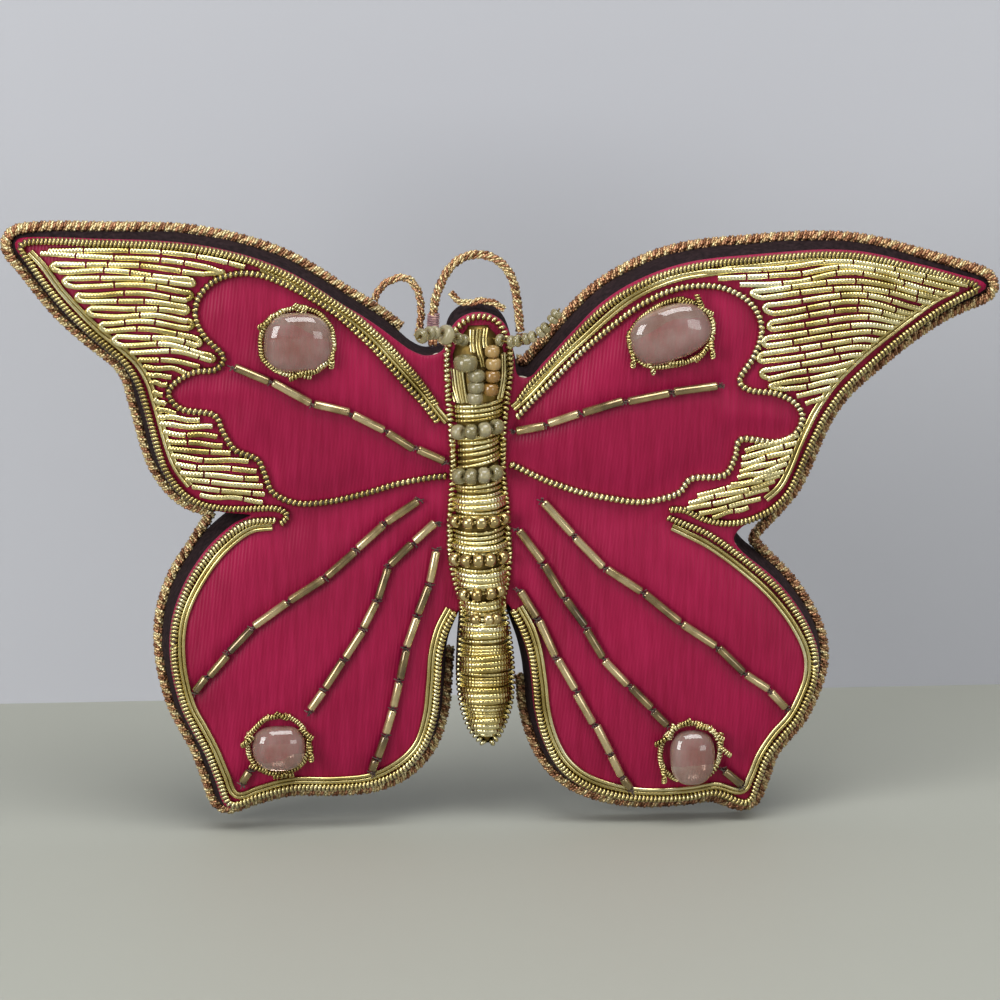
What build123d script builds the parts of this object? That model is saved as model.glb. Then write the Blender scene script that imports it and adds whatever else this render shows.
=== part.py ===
from build123d import *
import os
from math import asin, atan, cos, degrees, hypot, pi, radians, sin, sqrt, tan

os.makedirs("parts", exist_ok=True)

# A butterfly ornament of metal thread worked on padded satin. It hangs from a
# ring of cord. X runs across the wings, Z up, and -Y faces the viewer.
# The origin is the inner top of the ring, where a hook carries it.

# Sizes of the wings, millimetres
wing_span = 150.0
panel_depth = 7.6
mean_panel_depth = 5.8
back_behind_ring = 4.5
crown_reach_share = 0.32
crown_fall = 5.56
bow_facets = 14
satin_thickness = 0.5
back_cloth_thickness = 0.5
card_thickness = 0.8
gusset_thickness = 0.6
satin_margin = 0.6
layer_gap = 0.08
lay_gap = 0.12
braid_gap = 0.2
overrun = 2.0

# Sizes of the metal threads and cords
coil_radius = 0.5
smooth_wire_radius = 0.3
chip_radius = 0.38
chip_gap = 0.25
braid_radius = 0.78
cord_radius = 0.75
slack_cord_radius = 0.7
head_cord_radius = 0.6
bullion_radius = 0.5
band_radius = 0.38
smooth_band_radius = 0.42
band_end_inset = 0.35
whipping_thickness = 0.3
whipping_length = 2.0
knot_radius = 0.95
knot_length = 1.6
wire_sides = 5
chip_sides = 5
braid_sides = 6
cord_sides = 8

# Sizes of beads and stones
bugle_radius = 0.66
bugle_bore_radius = 0.3
bugle_gap = 0.35
bead_radius = 1.0
bead_length = 1.5
bead_bore_radius = 0.28
clear_bead_radius = 1.15
clear_bead_length = 1.65
eye_bead_radius = 1.7
eye_bead_length = 2.1
antenna_bead_radius = 0.95
antenna_bead_length = 1.0
antenna_bead_gap = 0.06
antenna_wire_radius = 0.14
antenna_bend_radius = 0.5
antenna_foot_gap = 0.25
antenna_reach = 7.0
bead_sides = 6
bead_chamfer_share = 0.36
stone_rise = 3.2
stone_dome_radius = 7.6

# Sizes of the body
body_seat_depth = 5.0
body_rise = 3.6
gilt_cloth_thickness = 0.4
abdomen_velvet_thickness = 0.5
abdomen_margin = 0.45

# The pattern was read off the picture: columns run right and rows run down.
# The camera looks down on the ornament by the tilt, in degrees.
left_tip_column = 11
right_tip_column = 1003
body_column = 487
ring_row = 258
view_tilt = 13.0
pixel = wing_span / (right_tip_column - left_tip_column)
run_share = 0.45

back_y = back_behind_ring
crown_reach = crown_reach_share * wing_span
crown_radius = (crown_reach**2 + crown_fall**2) / (2 * crown_fall)
rim_y = back_y - mean_panel_depth
body_seat_y = back_y - body_seat_depth


def picture_point(column, row, y):
    """A point of the picture whose depth is known, in part coordinates."""
    rise = (ring_row - row) * pixel - y * sin(radians(view_tilt))
    return ((column - body_column) * pixel, y, rise / cos(radians(view_tilt)))


def flat_point(column, row):
    """The x and z of a picture point on the front of the wings."""
    x, y, z = picture_point(column, row, rim_y)
    return x, z


# The padding swells over each wing and thins out to the tips: the satin
# lies on four large spheres, one for each wing.
crown_centre_pixels = [(292, 402), (264, 636), (692, 402), (696, 642)]
crown_centres = [flat_point(column, row) for column, row in crown_centre_pixels]


def satin_height(x, z):
    """How far the satin stands in front of the back face."""
    falls = [
        crown_radius - sqrt(crown_radius**2 - (x - centre_x) ** 2 - (z - centre_z) ** 2)
        for centre_x, centre_z in crown_centres
    ]
    return panel_depth - min(falls)


def on_satin(pixels, lift):
    """Points that stand off the satin by a lift, for what is sewn on it."""
    points = []
    for column, row in pixels:
        x, z = flat_point(column, row)
        points.append((x, back_y - satin_height(x, z) - lift, z))
    return points


def offset_line(points, distance, closed):
    """A polygon in x and z moved outwards, where the inside lies to its left."""
    count = len(points)
    moved = []
    for index, (x, z) in enumerate(points):
        before = points[index - 1] if closed or index else None
        after = points[(index + 1) % count] if closed or index < count - 1 else None
        normals = []
        for start, end in ((before, (x, z)), ((x, z), after)):
            if start and end:
                run = hypot(end[0] - start[0], end[1] - start[1])
                normals.append(((end[1] - start[1]) / run, (start[0] - end[0]) / run))
        first, last = normals[0], normals[-1]
        reach = distance / (1 + first[0] * last[0] + first[1] * last[1])
        moved.append((x + (first[0] + last[0]) * reach, z + (first[1] + last[1]) * reach))
    return moved


def corner_radii(points, closed=False):
    """Fillet radii that round each corner as far as its two runs allow."""
    corners = [Vector(*point) for point in points]
    if closed:
        corners = [corners[-1]] + corners + [corners[0]]
    radii = []
    for before, corner, after in zip(corners, corners[1:], corners[2:]):
        turn = radians((corner - before).get_angle(after - corner))
        shorter = min((corner - before).length, (after - corner).length)
        radii.append(run_share * shorter / tan(turn / 2))
    return radii


# Outline of the wings, on the line of the border coils, against the clock
left_forewing_edge_pixels = [
    (398, 339), (381, 326), (362, 313), (342, 301), (318, 285), (290, 269), (258, 256),
    (225, 247), (190, 241), (150, 238), (100, 237), (55, 236), (28, 237), (20, 241), (22, 249), (33, 262),
    (52, 287), (69, 307), (89, 326), (108, 342), (126, 357), (138, 375), (144, 396),
    (150, 418), (157, 444), (165, 465), (179, 485),
]
left_notch_pixels = [(198, 498), (222, 505), (252, 509), (233, 520), (214, 536)]
left_hindwing_edge_pixels = [
    (201, 551), (186, 574), (175, 600), (170, 622), (169, 645), (172, 672), (180, 702),
    (190, 724), (203, 748), (214, 777), (221, 799), (227, 806), (236, 804), (256, 797), (292, 789), (336, 790),
    (374, 787), (405, 774), (427, 750), (438, 716), (441, 684), (443, 655), (449, 632),
]
crotch_pixels = [(462, 608), (488, 601), (511, 605)]
right_hindwing_edge_pixels = [
    (523, 632), (531, 656), (535, 684), (538, 713), (546, 743), (561, 771), (584, 791),
    (616, 803), (654, 808), (692, 807), (722, 804), (747, 812), (756, 813), (761, 806), (768, 787), (776, 765),
    (790, 747), (805, 729), (817, 705), (824, 681), (823, 655), (812, 628), (795, 602),
    (775, 580),
]
right_notch_pixels = [(746, 556), (737, 541), (748, 528), (766, 521)]
right_forewing_edge_pixels = [
    (782, 512), (796, 496), (806, 476), (814, 457), (822, 439), (833, 419), (851, 396),
    (879, 371), (911, 346), (944, 324), (968, 312), (989, 304), (995, 299), (988, 294), (966, 287), (940, 279),
    (911, 271), (885, 264), (858, 259), (825, 257), (790, 258), (755, 260), (722, 262),
    (692, 266), (665, 273), (640, 283), (618, 295), (598, 310), (579, 329), (562, 347),
    (546, 364),
]
head_edge_pixels = [
    (533, 378), (519, 376), (515, 356), (512, 337), (503, 322), (488, 315), (472, 315),
    (458, 323), (450, 338), (444, 351), (428, 355), (412, 349),
]
outline_pixels = (
    left_forewing_edge_pixels + left_notch_pixels + left_hindwing_edge_pixels
    + crotch_pixels + right_hindwing_edge_pixels + right_notch_pixels
    + right_forewing_edge_pixels + head_edge_pixels
)
outline = [flat_point(column, row) for column, row in outline_pixels]


def outline_block(points, margin, back, front):
    """A block inside a closed line, from a back plane to a front plane."""
    loop = offset_line(points, margin, closed=True)
    with BuildPart() as block:
        with BuildSketch(Plane.XZ.offset(-back)):
            with BuildLine():
                Polyline(*loop, close=True)
            make_face()
        extrude(amount=back - front)
    return block.part


def crown_form(outwards):
    """The four spheres that the satin follows, grown or shrunk by a distance."""
    with BuildPart() as crown:
        for centre_x, centre_z in crown_centres:
            with Locations((centre_x, back_y - panel_depth + crown_radius, centre_z)):
                Sphere(crown_radius + outwards)
    return crown.part


front_limit_y = back_y - panel_depth - overrun
card_back_y = back_y - back_cloth_thickness
card_front_y = card_back_y - card_thickness
satin_face = crown_form(0)
satin_underside = crown_form(-satin_thickness)
wadding_face = crown_form(-satin_thickness - layer_gap)
inner_margin = satin_margin - gusset_thickness - layer_gap

# Velvet back, a flat plate of the full outline
back_panel_block = outline_block(outline, satin_margin, back_y, card_back_y)
with BuildPart() as back_panel:
    add(back_panel_block)
back_panel.part.label = "back_panel"
export_step(back_panel.part, "parts/back_panel.step")

# Card that keeps the wings flat, inside the velvet wall
card_block = outline_block(outline, inner_margin, card_back_y, card_front_y)
with BuildPart() as stiffener_card:
    add(card_block)
stiffener_card.part.label = "stiffener_card"
export_step(stiffener_card.part, "parts/stiffener_card.step")

# Felt wadding, swelling over each wing
wadding_block = outline_block(outline, inner_margin, card_front_y, front_limit_y)
with BuildPart() as wing_wadding:
    add(wadding_block)
    add(wadding_face, mode=Mode.INTERSECT)
wing_wadding.part.label = "wing_wadding"
export_step(wing_wadding.part, "parts/wing_wadding.step")

# Velvet wall round the card and the wadding
gusset_block = outline_block(outline, satin_margin, card_back_y, front_limit_y)
gusset_core = outline_block(
    outline, satin_margin - gusset_thickness, card_back_y, front_limit_y
)
with BuildPart() as side_gusset:
    add(gusset_block)
    add(gusset_core, mode=Mode.SUBTRACT)
    add(satin_underside, mode=Mode.INTERSECT)
side_gusset.part.label = "side_gusset"
export_step(side_gusset.part, "parts/side_gusset.step")

# Satin drawn over the padding
satin_block = outline_block(outline, satin_margin, card_front_y, front_limit_y)
with BuildPart() as front_satin:
    add(satin_block)
    add(satin_face, mode=Mode.INTERSECT)
    add(satin_underside, mode=Mode.SUBTRACT)
front_satin.part.label = "front_satin"
export_step(front_satin.part, "parts/front_satin.step")


def tube_volume(radius, sides, length):
    """Volume of a tube with straight sides: its section times its length."""
    return sides / 2 * radius**2 * sin(2 * pi / sides) * length


# Coils and smooth threads couched on the satin, each one unbroken wire
left_forewing_coil_pixels = [
    (436, 400), (424, 383), (408, 363), (391, 344), (374, 328), (358, 314), (340, 302),
    (317, 287), (289, 271), (257, 258), (225, 249), (190, 243), (150, 240), (100, 239),
    (55, 238), (25, 242), (36, 263), (54, 287), (71, 306), (91, 325), (110, 341),
    (127, 356), (139, 375), (146, 396), (152, 418), (159, 444), (167, 465), (181, 484),
    (199, 496), (221, 501), (246, 502), (268, 500),
]
left_hindwing_coil_pixels = [
    (270, 513), (252, 515), (236, 522), (217, 538), (204, 553), (189, 575), (178, 601),
    (173, 622), (172, 645), (175, 671), (183, 701), (193, 723), (206, 748), (217, 776),
    (229, 802), (257, 794), (292, 786), (336, 787), (373, 784), (403, 771), (424, 748),
    (435, 716), (438, 684), (440, 655), (446, 631), (455, 613),
]
right_forewing_coil_pixels = [
    (521, 399), (532, 384), (548, 367), (564, 350), (581, 332), (600, 313), (620, 298),
    (642, 286), (666, 276), (693, 269), (722, 265), (755, 263), (790, 261), (825, 260),
    (857, 262), (884, 267), (910, 274), (939, 282), (964, 290), (986, 299), (967, 309),
    (943, 321), (909, 343), (877, 368), (848, 394), (830, 418), (819, 439), (811, 456),
    (803, 475), (793, 495), (780, 509), (765, 518), (747, 524), (726, 525), (706, 520),
    (688, 511),
]
right_hindwing_coil_pixels = [
    (676, 520), (692, 527), (714, 537), (743, 558), (773, 583), (792, 604), (809, 629),
    (820, 656), (821, 681), (814, 704), (802, 727), (787, 745), (773, 764), (764, 789),
    (753, 811), (722, 800), (692, 804), (654, 805), (617, 800), (586, 788), (563, 769),
    (549, 742), (541, 713), (538, 684), (534, 656), (526, 632), (516, 612),
]
left_scallop_coil_pixels = [
    (437, 417), (425, 401), (409, 383), (391, 362), (373, 342), (353, 323), (333, 306),
    (311, 292), (288, 280), (263, 270), (240, 268), (216, 275), (200, 291), (197, 311),
    (206, 330), (224, 349), (216, 362), (196, 364), (178, 373), (169, 386), (182, 401),
    (214, 407), (223, 424), (235, 442), (257, 452), (265, 468), (273, 486), (297, 497),
    (330, 496), (364, 489), (398, 480), (430, 475), (446, 474),
]
right_scallop_coil_pixels = [
    (520, 415), (535, 399), (552, 382), (570, 364), (590, 345), (612, 327), (635, 310),
    (660, 296), (688, 288), (718, 288), (744, 298), (760, 315), (764, 336), (756, 358),
    (742, 380), (752, 391), (778, 395), (798, 405), (806, 420), (798, 437), (778, 444),
    (744, 440), (738, 458), (727, 476), (694, 479), (680, 494), (645, 502), (612, 498),
    (580, 491), (546, 479), (514, 464),
]
left_forewing_purl_pixels = [
    (446, 419), (436, 408), (424, 392), (408, 373), (393, 355),
]
right_forewing_purl_pixels = [
    (516, 411), (533, 392), (550, 374), (568, 356), (588, 336), (609, 318), (632, 302),
    (657, 289), (684, 280),
]
left_forewing_outer_purl_pixels = [
    (44, 262), (62, 286), (80, 306), (100, 325), (119, 340), (136, 356), (147, 374),
    (154, 395), (160, 416), (167, 442), (175, 462), (188, 479),
]
right_forewing_outer_purl_pixels = [
    (944, 310), (923, 323), (903, 336), (872, 359), (842, 386), (823, 411), (812, 433),
    (803, 453), (795, 472), (785, 490), (771, 503),
]
left_hindwing_purl_pixels = [
    (272, 523), (251, 526), (229, 541), (213, 558), (199, 580), (188, 604), (183, 625),
    (182, 646), (185, 670), (193, 699), (203, 719), (216, 745), (227, 771), (236, 790),
    (258, 784), (291, 776), (335, 777), (369, 775), (395, 763), (415, 744), (425, 715),
    (428, 684), (430, 654), (437, 628), (446, 609),
]
right_hindwing_purl_pixels = [
    (674, 530), (689, 537), (710, 548), (736, 567), (765, 591), (783, 611), (799, 635),
    (810, 659), (811, 681), (804, 701), (793, 721), (778, 738), (764, 760), (754, 784),
    (746, 796), (722, 790), (692, 794), (654, 795), (620, 790), (592, 780), (572, 763),
    (559, 739), (551, 711), (548, 682), (544, 653), (536, 628), (525, 608),
]
couched_wires = [
    ("left_forewing_coil", left_forewing_coil_pixels, coil_radius),
    ("right_forewing_coil", right_forewing_coil_pixels, coil_radius),
    ("left_hindwing_coil", left_hindwing_coil_pixels, coil_radius),
    ("right_hindwing_coil", right_hindwing_coil_pixels, coil_radius),
    ("left_scallop_coil", left_scallop_coil_pixels, coil_radius),
    ("right_scallop_coil", right_scallop_coil_pixels, coil_radius),
    ("left_forewing_purl", left_forewing_purl_pixels, smooth_wire_radius),
    ("right_forewing_purl", right_forewing_purl_pixels, smooth_wire_radius),
    ("left_outer_purl", left_forewing_outer_purl_pixels, smooth_wire_radius),
    ("right_outer_purl", right_forewing_outer_purl_pixels, smooth_wire_radius),
    ("left_hindwing_purl", left_hindwing_purl_pixels, smooth_wire_radius),
    ("right_hindwing_purl", right_hindwing_purl_pixels, smooth_wire_radius),
]
for name, pixels, radius in couched_wires:
    points = on_satin(pixels, radius + lay_gap)
    with BuildPart() as couched_wire:
        with BuildLine() as route:
            FilletPolyline(*points, radius=corner_radii(points))
        path = route.wire()
        with BuildSketch(Plane(origin=path @ 0, z_dir=path % 0)):
            RegularPolygon(radius, wire_sides)
        sweep(path=path)
    expected = tube_volume(radius, wire_sides, path.length)
    print(name, "tightest", round(min(corner_radii(points)), 2), "volume share",
          round(couched_wire.part.volume / expected, 3))
    couched_wire.part.label = name
    export_step(couched_wire.part, f"parts/{name}.step")

# Twisted cord sewn round the back edge of the wings, one length on each side.
# In the notch between fore and hind wing it turns on a wider curve.
braid_margin = satin_margin + braid_gap + braid_radius
left_braid_pixels = (
    left_forewing_edge_pixels + [(194, 497), (222, 512), (205, 546)]
    + left_hindwing_edge_pixels[1:-3]
)
right_braid_pixels = (
    right_hindwing_edge_pixels[2:-1] + [(768, 573), (752, 548), (782, 513)]
    + right_forewing_edge_pixels[1:]
)
for name, pixels in (
    ("left_edge_braid", left_braid_pixels),
    ("right_edge_braid", right_braid_pixels),
):
    line = offset_line([flat_point(column, row) for column, row in pixels], braid_margin, closed=False)
    points = [(x, back_y - braid_radius, z) for x, z in line]
    with BuildPart() as braid:
        with BuildLine() as route:
            FilletPolyline(*points, radius=corner_radii(points))
        path = route.wire()
        with BuildSketch(Plane(origin=path @ 0, z_dir=path % 0)):
            RegularPolygon(braid_radius, braid_sides)
        sweep(path=path)
    expected = tube_volume(braid_radius, braid_sides, path.length)
    print(name, "tightest", round(min(corner_radii(points)), 2), "volume share",
          round(braid.part.volume / expected, 3))
    braid.part.label = name
    export_step(braid.part, f"parts/{name}.step")


def rod(start, end, radius, sides, trim=0):
    """A straight many-sided rod between two points, cut short at both ends."""
    axis = Vector(*end) - Vector(*start)
    length = axis.length - 2 * trim
    begin = Vector(*start) + axis.normalized() * trim
    with BuildPart() as piece:
        with BuildSketch(Plane(origin=begin, z_dir=axis)):
            RegularPolygon(radius, sides)
        extrude(amount=length)
    return piece.part


# Cut purl laid in rows on the wing tips and on the lower lobes. Each row is
# given by its ends, or its ends and a bend, and the number of cut lengths.
left_tip_rows_pixels = [
    [(58, 246), (150, 247), (222, 258), 6], [(60, 253), (140, 254), (207, 264), 5],
    [(64, 260), (140, 261), (196, 268), 4], [(72, 268), (190, 275), 4],
    [(78, 276), (187, 282), 4], [(84, 284), (186, 289), 3], [(90, 292), (186, 296), 3],
    [(96, 300), (186, 303), 3], [(103, 308), (187, 311), 3], [(111, 316), (190, 320), 3],
    [(119, 324), (194, 329), 3], [(128, 332), (199, 338), 3], [(138, 341), (205, 347), 3],
    [(147, 350), (206, 356), 2], [(154, 360), (183, 363), 1], [(157, 370), (170, 372), 1],
]
right_tip_rows_pixels = [
    [(700, 276), (780, 273), (858, 271), (958, 297), 9],
    [(742, 284), (860, 280), (940, 301), 7], [(762, 292), (860, 288), (926, 307), 6],
    [(770, 300), (860, 296), (916, 314), 5], [(773, 308), (860, 305), (910, 320), 5],
    [(773, 317), (860, 314), (900, 324), 5], [(773, 326), (889, 329), 4],
    [(771, 335), (880, 337), 4], [(767, 345), (869, 346), 4], [(762, 356), (858, 354), 4],
    [(758, 366), (848, 363), 4], [(754, 376), (840, 372), 4], [(757, 385), (832, 381), 3],
    [(786, 391), (824, 389), 2], [(805, 400), (816, 399), 1],
]
left_lobe_rows_pixels = [
    [(167, 402), (174, 404), 1], [(167, 413), (205, 418), 2], [(171, 421), (213, 427), 2],
    [(175, 430), (220, 436), 2], [(178, 438), (226, 445), 2], [(181, 446), (244, 455), 3],
    [(184, 454), (255, 464), 3], [(189, 463), (256, 473), 3], [(195, 471), (261, 481), 3],
    [(200, 480), (265, 489), 3], [(210, 489), (258, 495), 2],
]
right_lobe_rows_pixels = [
    [(750, 449), (795, 449), 2], [(747, 460), (789, 456), 2], [(744, 470), (785, 465), 2],
    [(736, 481), (781, 474), 2], [(702, 490), (776, 482), 3], [(692, 500), (768, 491), 3],
    [(702, 508), (758, 501), 2], [(716, 515), (748, 511), 1],
]


def row_chips(rows):
    """Cut lengths of purl along each row, end to end on the satin."""
    chips = []
    for row in rows:
        turns, pieces = row[:-1], row[-1]
        runs = list(zip(turns, turns[1:]))
        spans = [hypot(end[0] - start[0], end[1] - start[1]) for start, end in runs]
        for (start, end), span in zip(runs, spans):
            count = max(1, round(pieces * span / sum(spans)))
            joints = on_satin(
                [(start[0] + (end[0] - start[0]) * index / count,
                  start[1] + (end[1] - start[1]) * index / count) for index in range(count + 1)],
                chip_radius + lay_gap,
            )
            for first, last in zip(joints, joints[1:]):
                chips.append(rod(first, last, chip_radius, chip_sides, chip_gap / 2))
    return chips


for name, rows in (
    ("left_cut_purl", left_tip_rows_pixels + left_lobe_rows_pixels),
    ("right_cut_purl", right_tip_rows_pixels + right_lobe_rows_pixels),
):
    chips = row_chips(rows)
    with BuildPart() as filling:
        add(chips)
    print(name, len(chips), "cut lengths,", len(filling.solids()), "solids")
    filling.part.label = name
    export_step(filling.part, f"parts/{name}.step")

# Bugle beads that make the veins: the joints between beads, root first
left_forewing_vein_pixels = [
    [(444, 459), (416, 444), (386, 425), (351, 407), (312, 396), (271, 374), (235, 360)],
]
right_forewing_vein_pixels = [
    [(518, 430), (548, 423), (582, 411), (627, 399), (673, 391), (722, 386)],
]
left_hindwing_vein_pixels = [
    [(420, 496), (385, 519), (356, 544), (324, 571), (287, 594), (251, 619), (226, 645),
     (206, 669), (195, 684)],
    [(438, 520), (414, 540), (389, 562), (377, 596), (363, 624), (344, 654), (323, 684),
     (308, 704)],
    [(249, 769), (244, 779)],
    [(438, 547), (431, 582), (418, 613), (406, 645), (399, 677), (393, 706), (386, 733),
     (377, 757)],
]
right_hindwing_vein_pixels = [
    [(544, 500), (576, 535), (607, 567), (645, 592), (683, 624), (720, 648), (748, 676),
     (774, 694), (790, 712)],
    [(522, 530), (544, 563), (566, 597), (588, 627), (606, 658), (631, 686), (655, 711),
     (670, 725)],
    [(730, 778), (742, 787)],
    [(524, 590), (539, 619), (558, 658), (578, 691), (597, 726), (613, 757), (625, 781)],
]
for name, veins in (
    ("left_forewing_veins", left_forewing_vein_pixels),
    ("right_forewing_veins", right_forewing_vein_pixels),
    ("left_hindwing_veins", left_hindwing_vein_pixels),
    ("right_hindwing_veins", right_hindwing_vein_pixels),
):
    beads = []
    for vein in veins:
        joints = on_satin(vein, bugle_radius + lay_gap)
        for start, end in zip(joints, joints[1:]):
            bead = rod(start, end, bugle_radius, bead_sides, bugle_gap / 2)
            beads.append(bead - rod(start, end, bugle_bore_radius, wire_sides))
    with BuildPart() as bugles:
        add(beads)
    bugles.part.label = name
    export_step(bugles.part, f"parts/{name}.step")

# Glass cabochons: centre, half width, half height and turn of each, and the
# corners between the lengths of bullion round it
left_upper_stone_half_width = 4.5
left_upper_stone_half_height = 4.0
right_upper_stone_half_width = 5.4
right_upper_stone_half_height = 3.7
left_lower_stone_half_width = 3.5
left_lower_stone_half_height = 3.1
right_lower_stone_half_width = 3.0
right_lower_stone_half_height = 3.8
stones = [
    ("left_upper", (298, 335), left_upper_stone_half_width, left_upper_stone_half_height, 0,
     [(283, 304), (305, 302), (322, 309), (333, 324), (334, 345), (321, 361), (300, 367),
      (278, 363), (262, 349), (261, 328), (269, 312), (283, 304)]),
    ("right_upper", (671, 332), right_upper_stone_half_width, right_upper_stone_half_height, 20,
     [(659, 306), (682, 299), (702, 305), (715, 321), (713, 341), (697, 357), (672, 364),
      (648, 364), (633, 352), (630, 334), (642, 318), (659, 306)]),
    ("left_lower", (277, 742), left_lower_stone_half_width, left_lower_stone_half_height, 0,
     [(264, 711), (285, 709), (301, 721), (308, 741), (300, 760), (282, 769), (261, 766),
      (247, 750), (246, 729), (264, 711)]),
    ("right_lower", (696, 760), right_lower_stone_half_width, right_lower_stone_half_height, 0,
     [(679, 783), (666, 771), (663, 753), (670, 736), (684, 726), (702, 725), (717, 733),
      (724, 749), (722, 767), (711, 781)]),
]
for name, centre, half_width, half_height, turn, frame_pixels in stones:
    seat_x, seat_y, seat_z = on_satin([centre], 0)[0]
    nearest = min(crown_centres, key=lambda spot: hypot(spot[0] - seat_x, spot[1] - seat_z))
    crown_middle = Vector(nearest[0], back_y - panel_depth + crown_radius, nearest[1])
    outwards = (Vector(seat_x, seat_y, seat_z) - crown_middle).normalized()
    seat_plane = Plane(
        origin=Vector(seat_x, seat_y, seat_z) + outwards * lay_gap,
        x_dir=Vector(0, 0, 1).cross(outwards), z_dir=outwards,
    )
    with BuildPart() as cabochon:
        with BuildSketch(seat_plane):
            Ellipse(half_width, half_height, rotation=turn)
        extrude(amount=stone_rise)
        with Locations(seat_plane.offset(stone_rise - stone_dome_radius).location):
            Sphere(stone_dome_radius, mode=Mode.INTERSECT)
    cabochon.part.label = f"{name}_stone"
    export_step(cabochon.part, f"parts/{name}_stone.step")

    corners = on_satin(frame_pixels, bullion_radius + lay_gap)
    lengths = [
        rod(start, end, bullion_radius, chip_sides, chip_gap)
        for start, end in zip(corners, corners[1:])
    ]
    with BuildPart() as stone_frame:
        add(lengths)
    stone_frame.part.label = f"{name}_frame"
    export_step(stone_frame.part, f"parts/{name}_frame.step")

# The body: row, left and right column of its edge coils, and the share of
# the full rise that the body swells to there
body_edge_pixels = [
    (354, 447, 512), (375, 448, 512), (395, 449, 509), (414, 451, 507), (440, 454, 504),
    (470, 455, 505), (498, 453, 508), (528, 451, 510), (557, 452, 511), (582, 457, 509),
    (602, 464, 505), (622, 464, 508), (648, 462, 512), (680, 461, 514), (706, 464, 512),
    (727, 471, 505), (738, 478, 499),
]
body_rise_shares = [
    0.95, 0.97, 0.97, 0.97, 0.92, 0.95, 1.00, 1.00, 1.00, 0.93, 0.72, 0.80, 0.88, 0.88,
    0.80, 0.54, 0.30,
]
head_top_pixels = [(326, 466, 494), (340, 452, 508)]
head_top_rise_shares = [0.50, 0.80]
body_side_gap = coil_radius + lay_gap

stations = []
for (row, left, right), share in zip(
    head_top_pixels + body_edge_pixels, head_top_rise_shares + body_rise_shares
):
    x_left, z = flat_point(left, row)
    x_right, z = flat_point(right, row)
    half = (x_right - x_left) / 2 - body_side_gap
    stations.append(((x_left + x_right) / 2, z, half, body_rise * share))


def body_form(inwards):
    """The swelling body as a loft, drawn in all round by a distance."""
    with BuildPart() as form:
        for centre_x, z, half, rise in stations:
            with BuildSketch(Plane.XY.offset(z)):
                with BuildLine():
                    left = (centre_x - half + inwards, body_seat_y)
                    right = (centre_x + half - inwards, body_seat_y)
                    crest = (centre_x, body_seat_y - rise + inwards)
                    bow = ThreePointArc(left, crest, right, mode=Mode.PRIVATE)
                    spots = [bow @ (step / bow_facets) for step in range(bow_facets + 1)]
                    Polyline(*spots, close=True)
                make_face()
        loft(ruled=True)
    return form.part


def body_section(z):
    """Middle, half width and rise of the body at a height."""
    for upper, lower in zip(stations, stations[1:]):
        if upper[1] >= z >= lower[1]:
            share = (upper[1] - z) / (upper[1] - lower[1])
            return [a + (b - a) * share for a, b in zip(upper, lower)]
    return list(stations[0] if z > stations[0][1] else stations[-1])


def on_body(x, z, lift):
    """A point off the gilt cloth at x and z, and the centre of the bow there."""
    centre_x, height, half, rise = body_section(z)
    bow = (half**2 + rise**2) / (2 * rise)
    bow_y = body_seat_y - rise + bow
    reach = x - centre_x
    return (x, bow_y - sqrt((bow + lift) ** 2 - reach**2), z), (centre_x, bow_y, z)


wing_space = outline_block(outline, satin_margin + layer_gap, back_y + overrun, front_limit_y)
wing_space = wing_space & crown_form(layer_gap)
full_body = body_form(0)
body_core = body_form(gilt_cloth_thickness)
padding_core = body_form(gilt_cloth_thickness + layer_gap)

# Gilt cloth drawn over the body padding
with BuildPart() as body_cover:
    add(full_body)
    add(body_core, mode=Mode.SUBTRACT)
    add(wing_space, mode=Mode.SUBTRACT)
body_cover.part.label = "body_cover"
export_step(body_cover.part, "parts/body_cover.step")

# Felt padding of the body, cut by the wings that it is sewn to
with BuildPart() as body_padding:
    add(padding_core)
    add(wing_space, mode=Mode.SUBTRACT)
body_padding.part.label = "body_padding"
export_step(body_padding.part, "parts/body_padding.step")

# Stiff tongue under the free end of the abdomen, and the velvet round it
abdomen_rows = [edge for edge in body_edge_pixels if edge[0] > crotch_pixels[0][1]]
abdomen_top_row = 586
abdomen_pixels = (
    [(458, abdomen_top_row)] + [(left, row) for row, left, right in abdomen_rows]
    + [(right, row) for row, left, right in abdomen_rows[::-1]] + [(509, abdomen_top_row + 2)]
)
abdomen_line = [flat_point(column, row) for column, row in abdomen_pixels]
tongue_margin = abdomen_margin - abdomen_velvet_thickness - layer_gap
tongue_block = outline_block(
    abdomen_line, tongue_margin, card_back_y, body_seat_y + layer_gap
)
velvet_block = outline_block(
    abdomen_line, abdomen_margin, back_y, body_seat_y + layer_gap
)
velvet_core = outline_block(
    abdomen_line, abdomen_margin - abdomen_velvet_thickness, card_back_y, body_seat_y - overrun
)
with BuildPart() as abdomen_core:
    add(tongue_block)
    add(wing_space, mode=Mode.SUBTRACT)
abdomen_core.part.label = "abdomen_core"
export_step(abdomen_core.part, "parts/abdomen_core.step")

with BuildPart() as abdomen_velvet:
    add(velvet_block)
    add(velvet_core, mode=Mode.SUBTRACT)
    add(wing_space, mode=Mode.SUBTRACT)
abdomen_velvet.part.label = "abdomen_velvet"
export_step(abdomen_velvet.part, "parts/abdomen_velvet.step")

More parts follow.
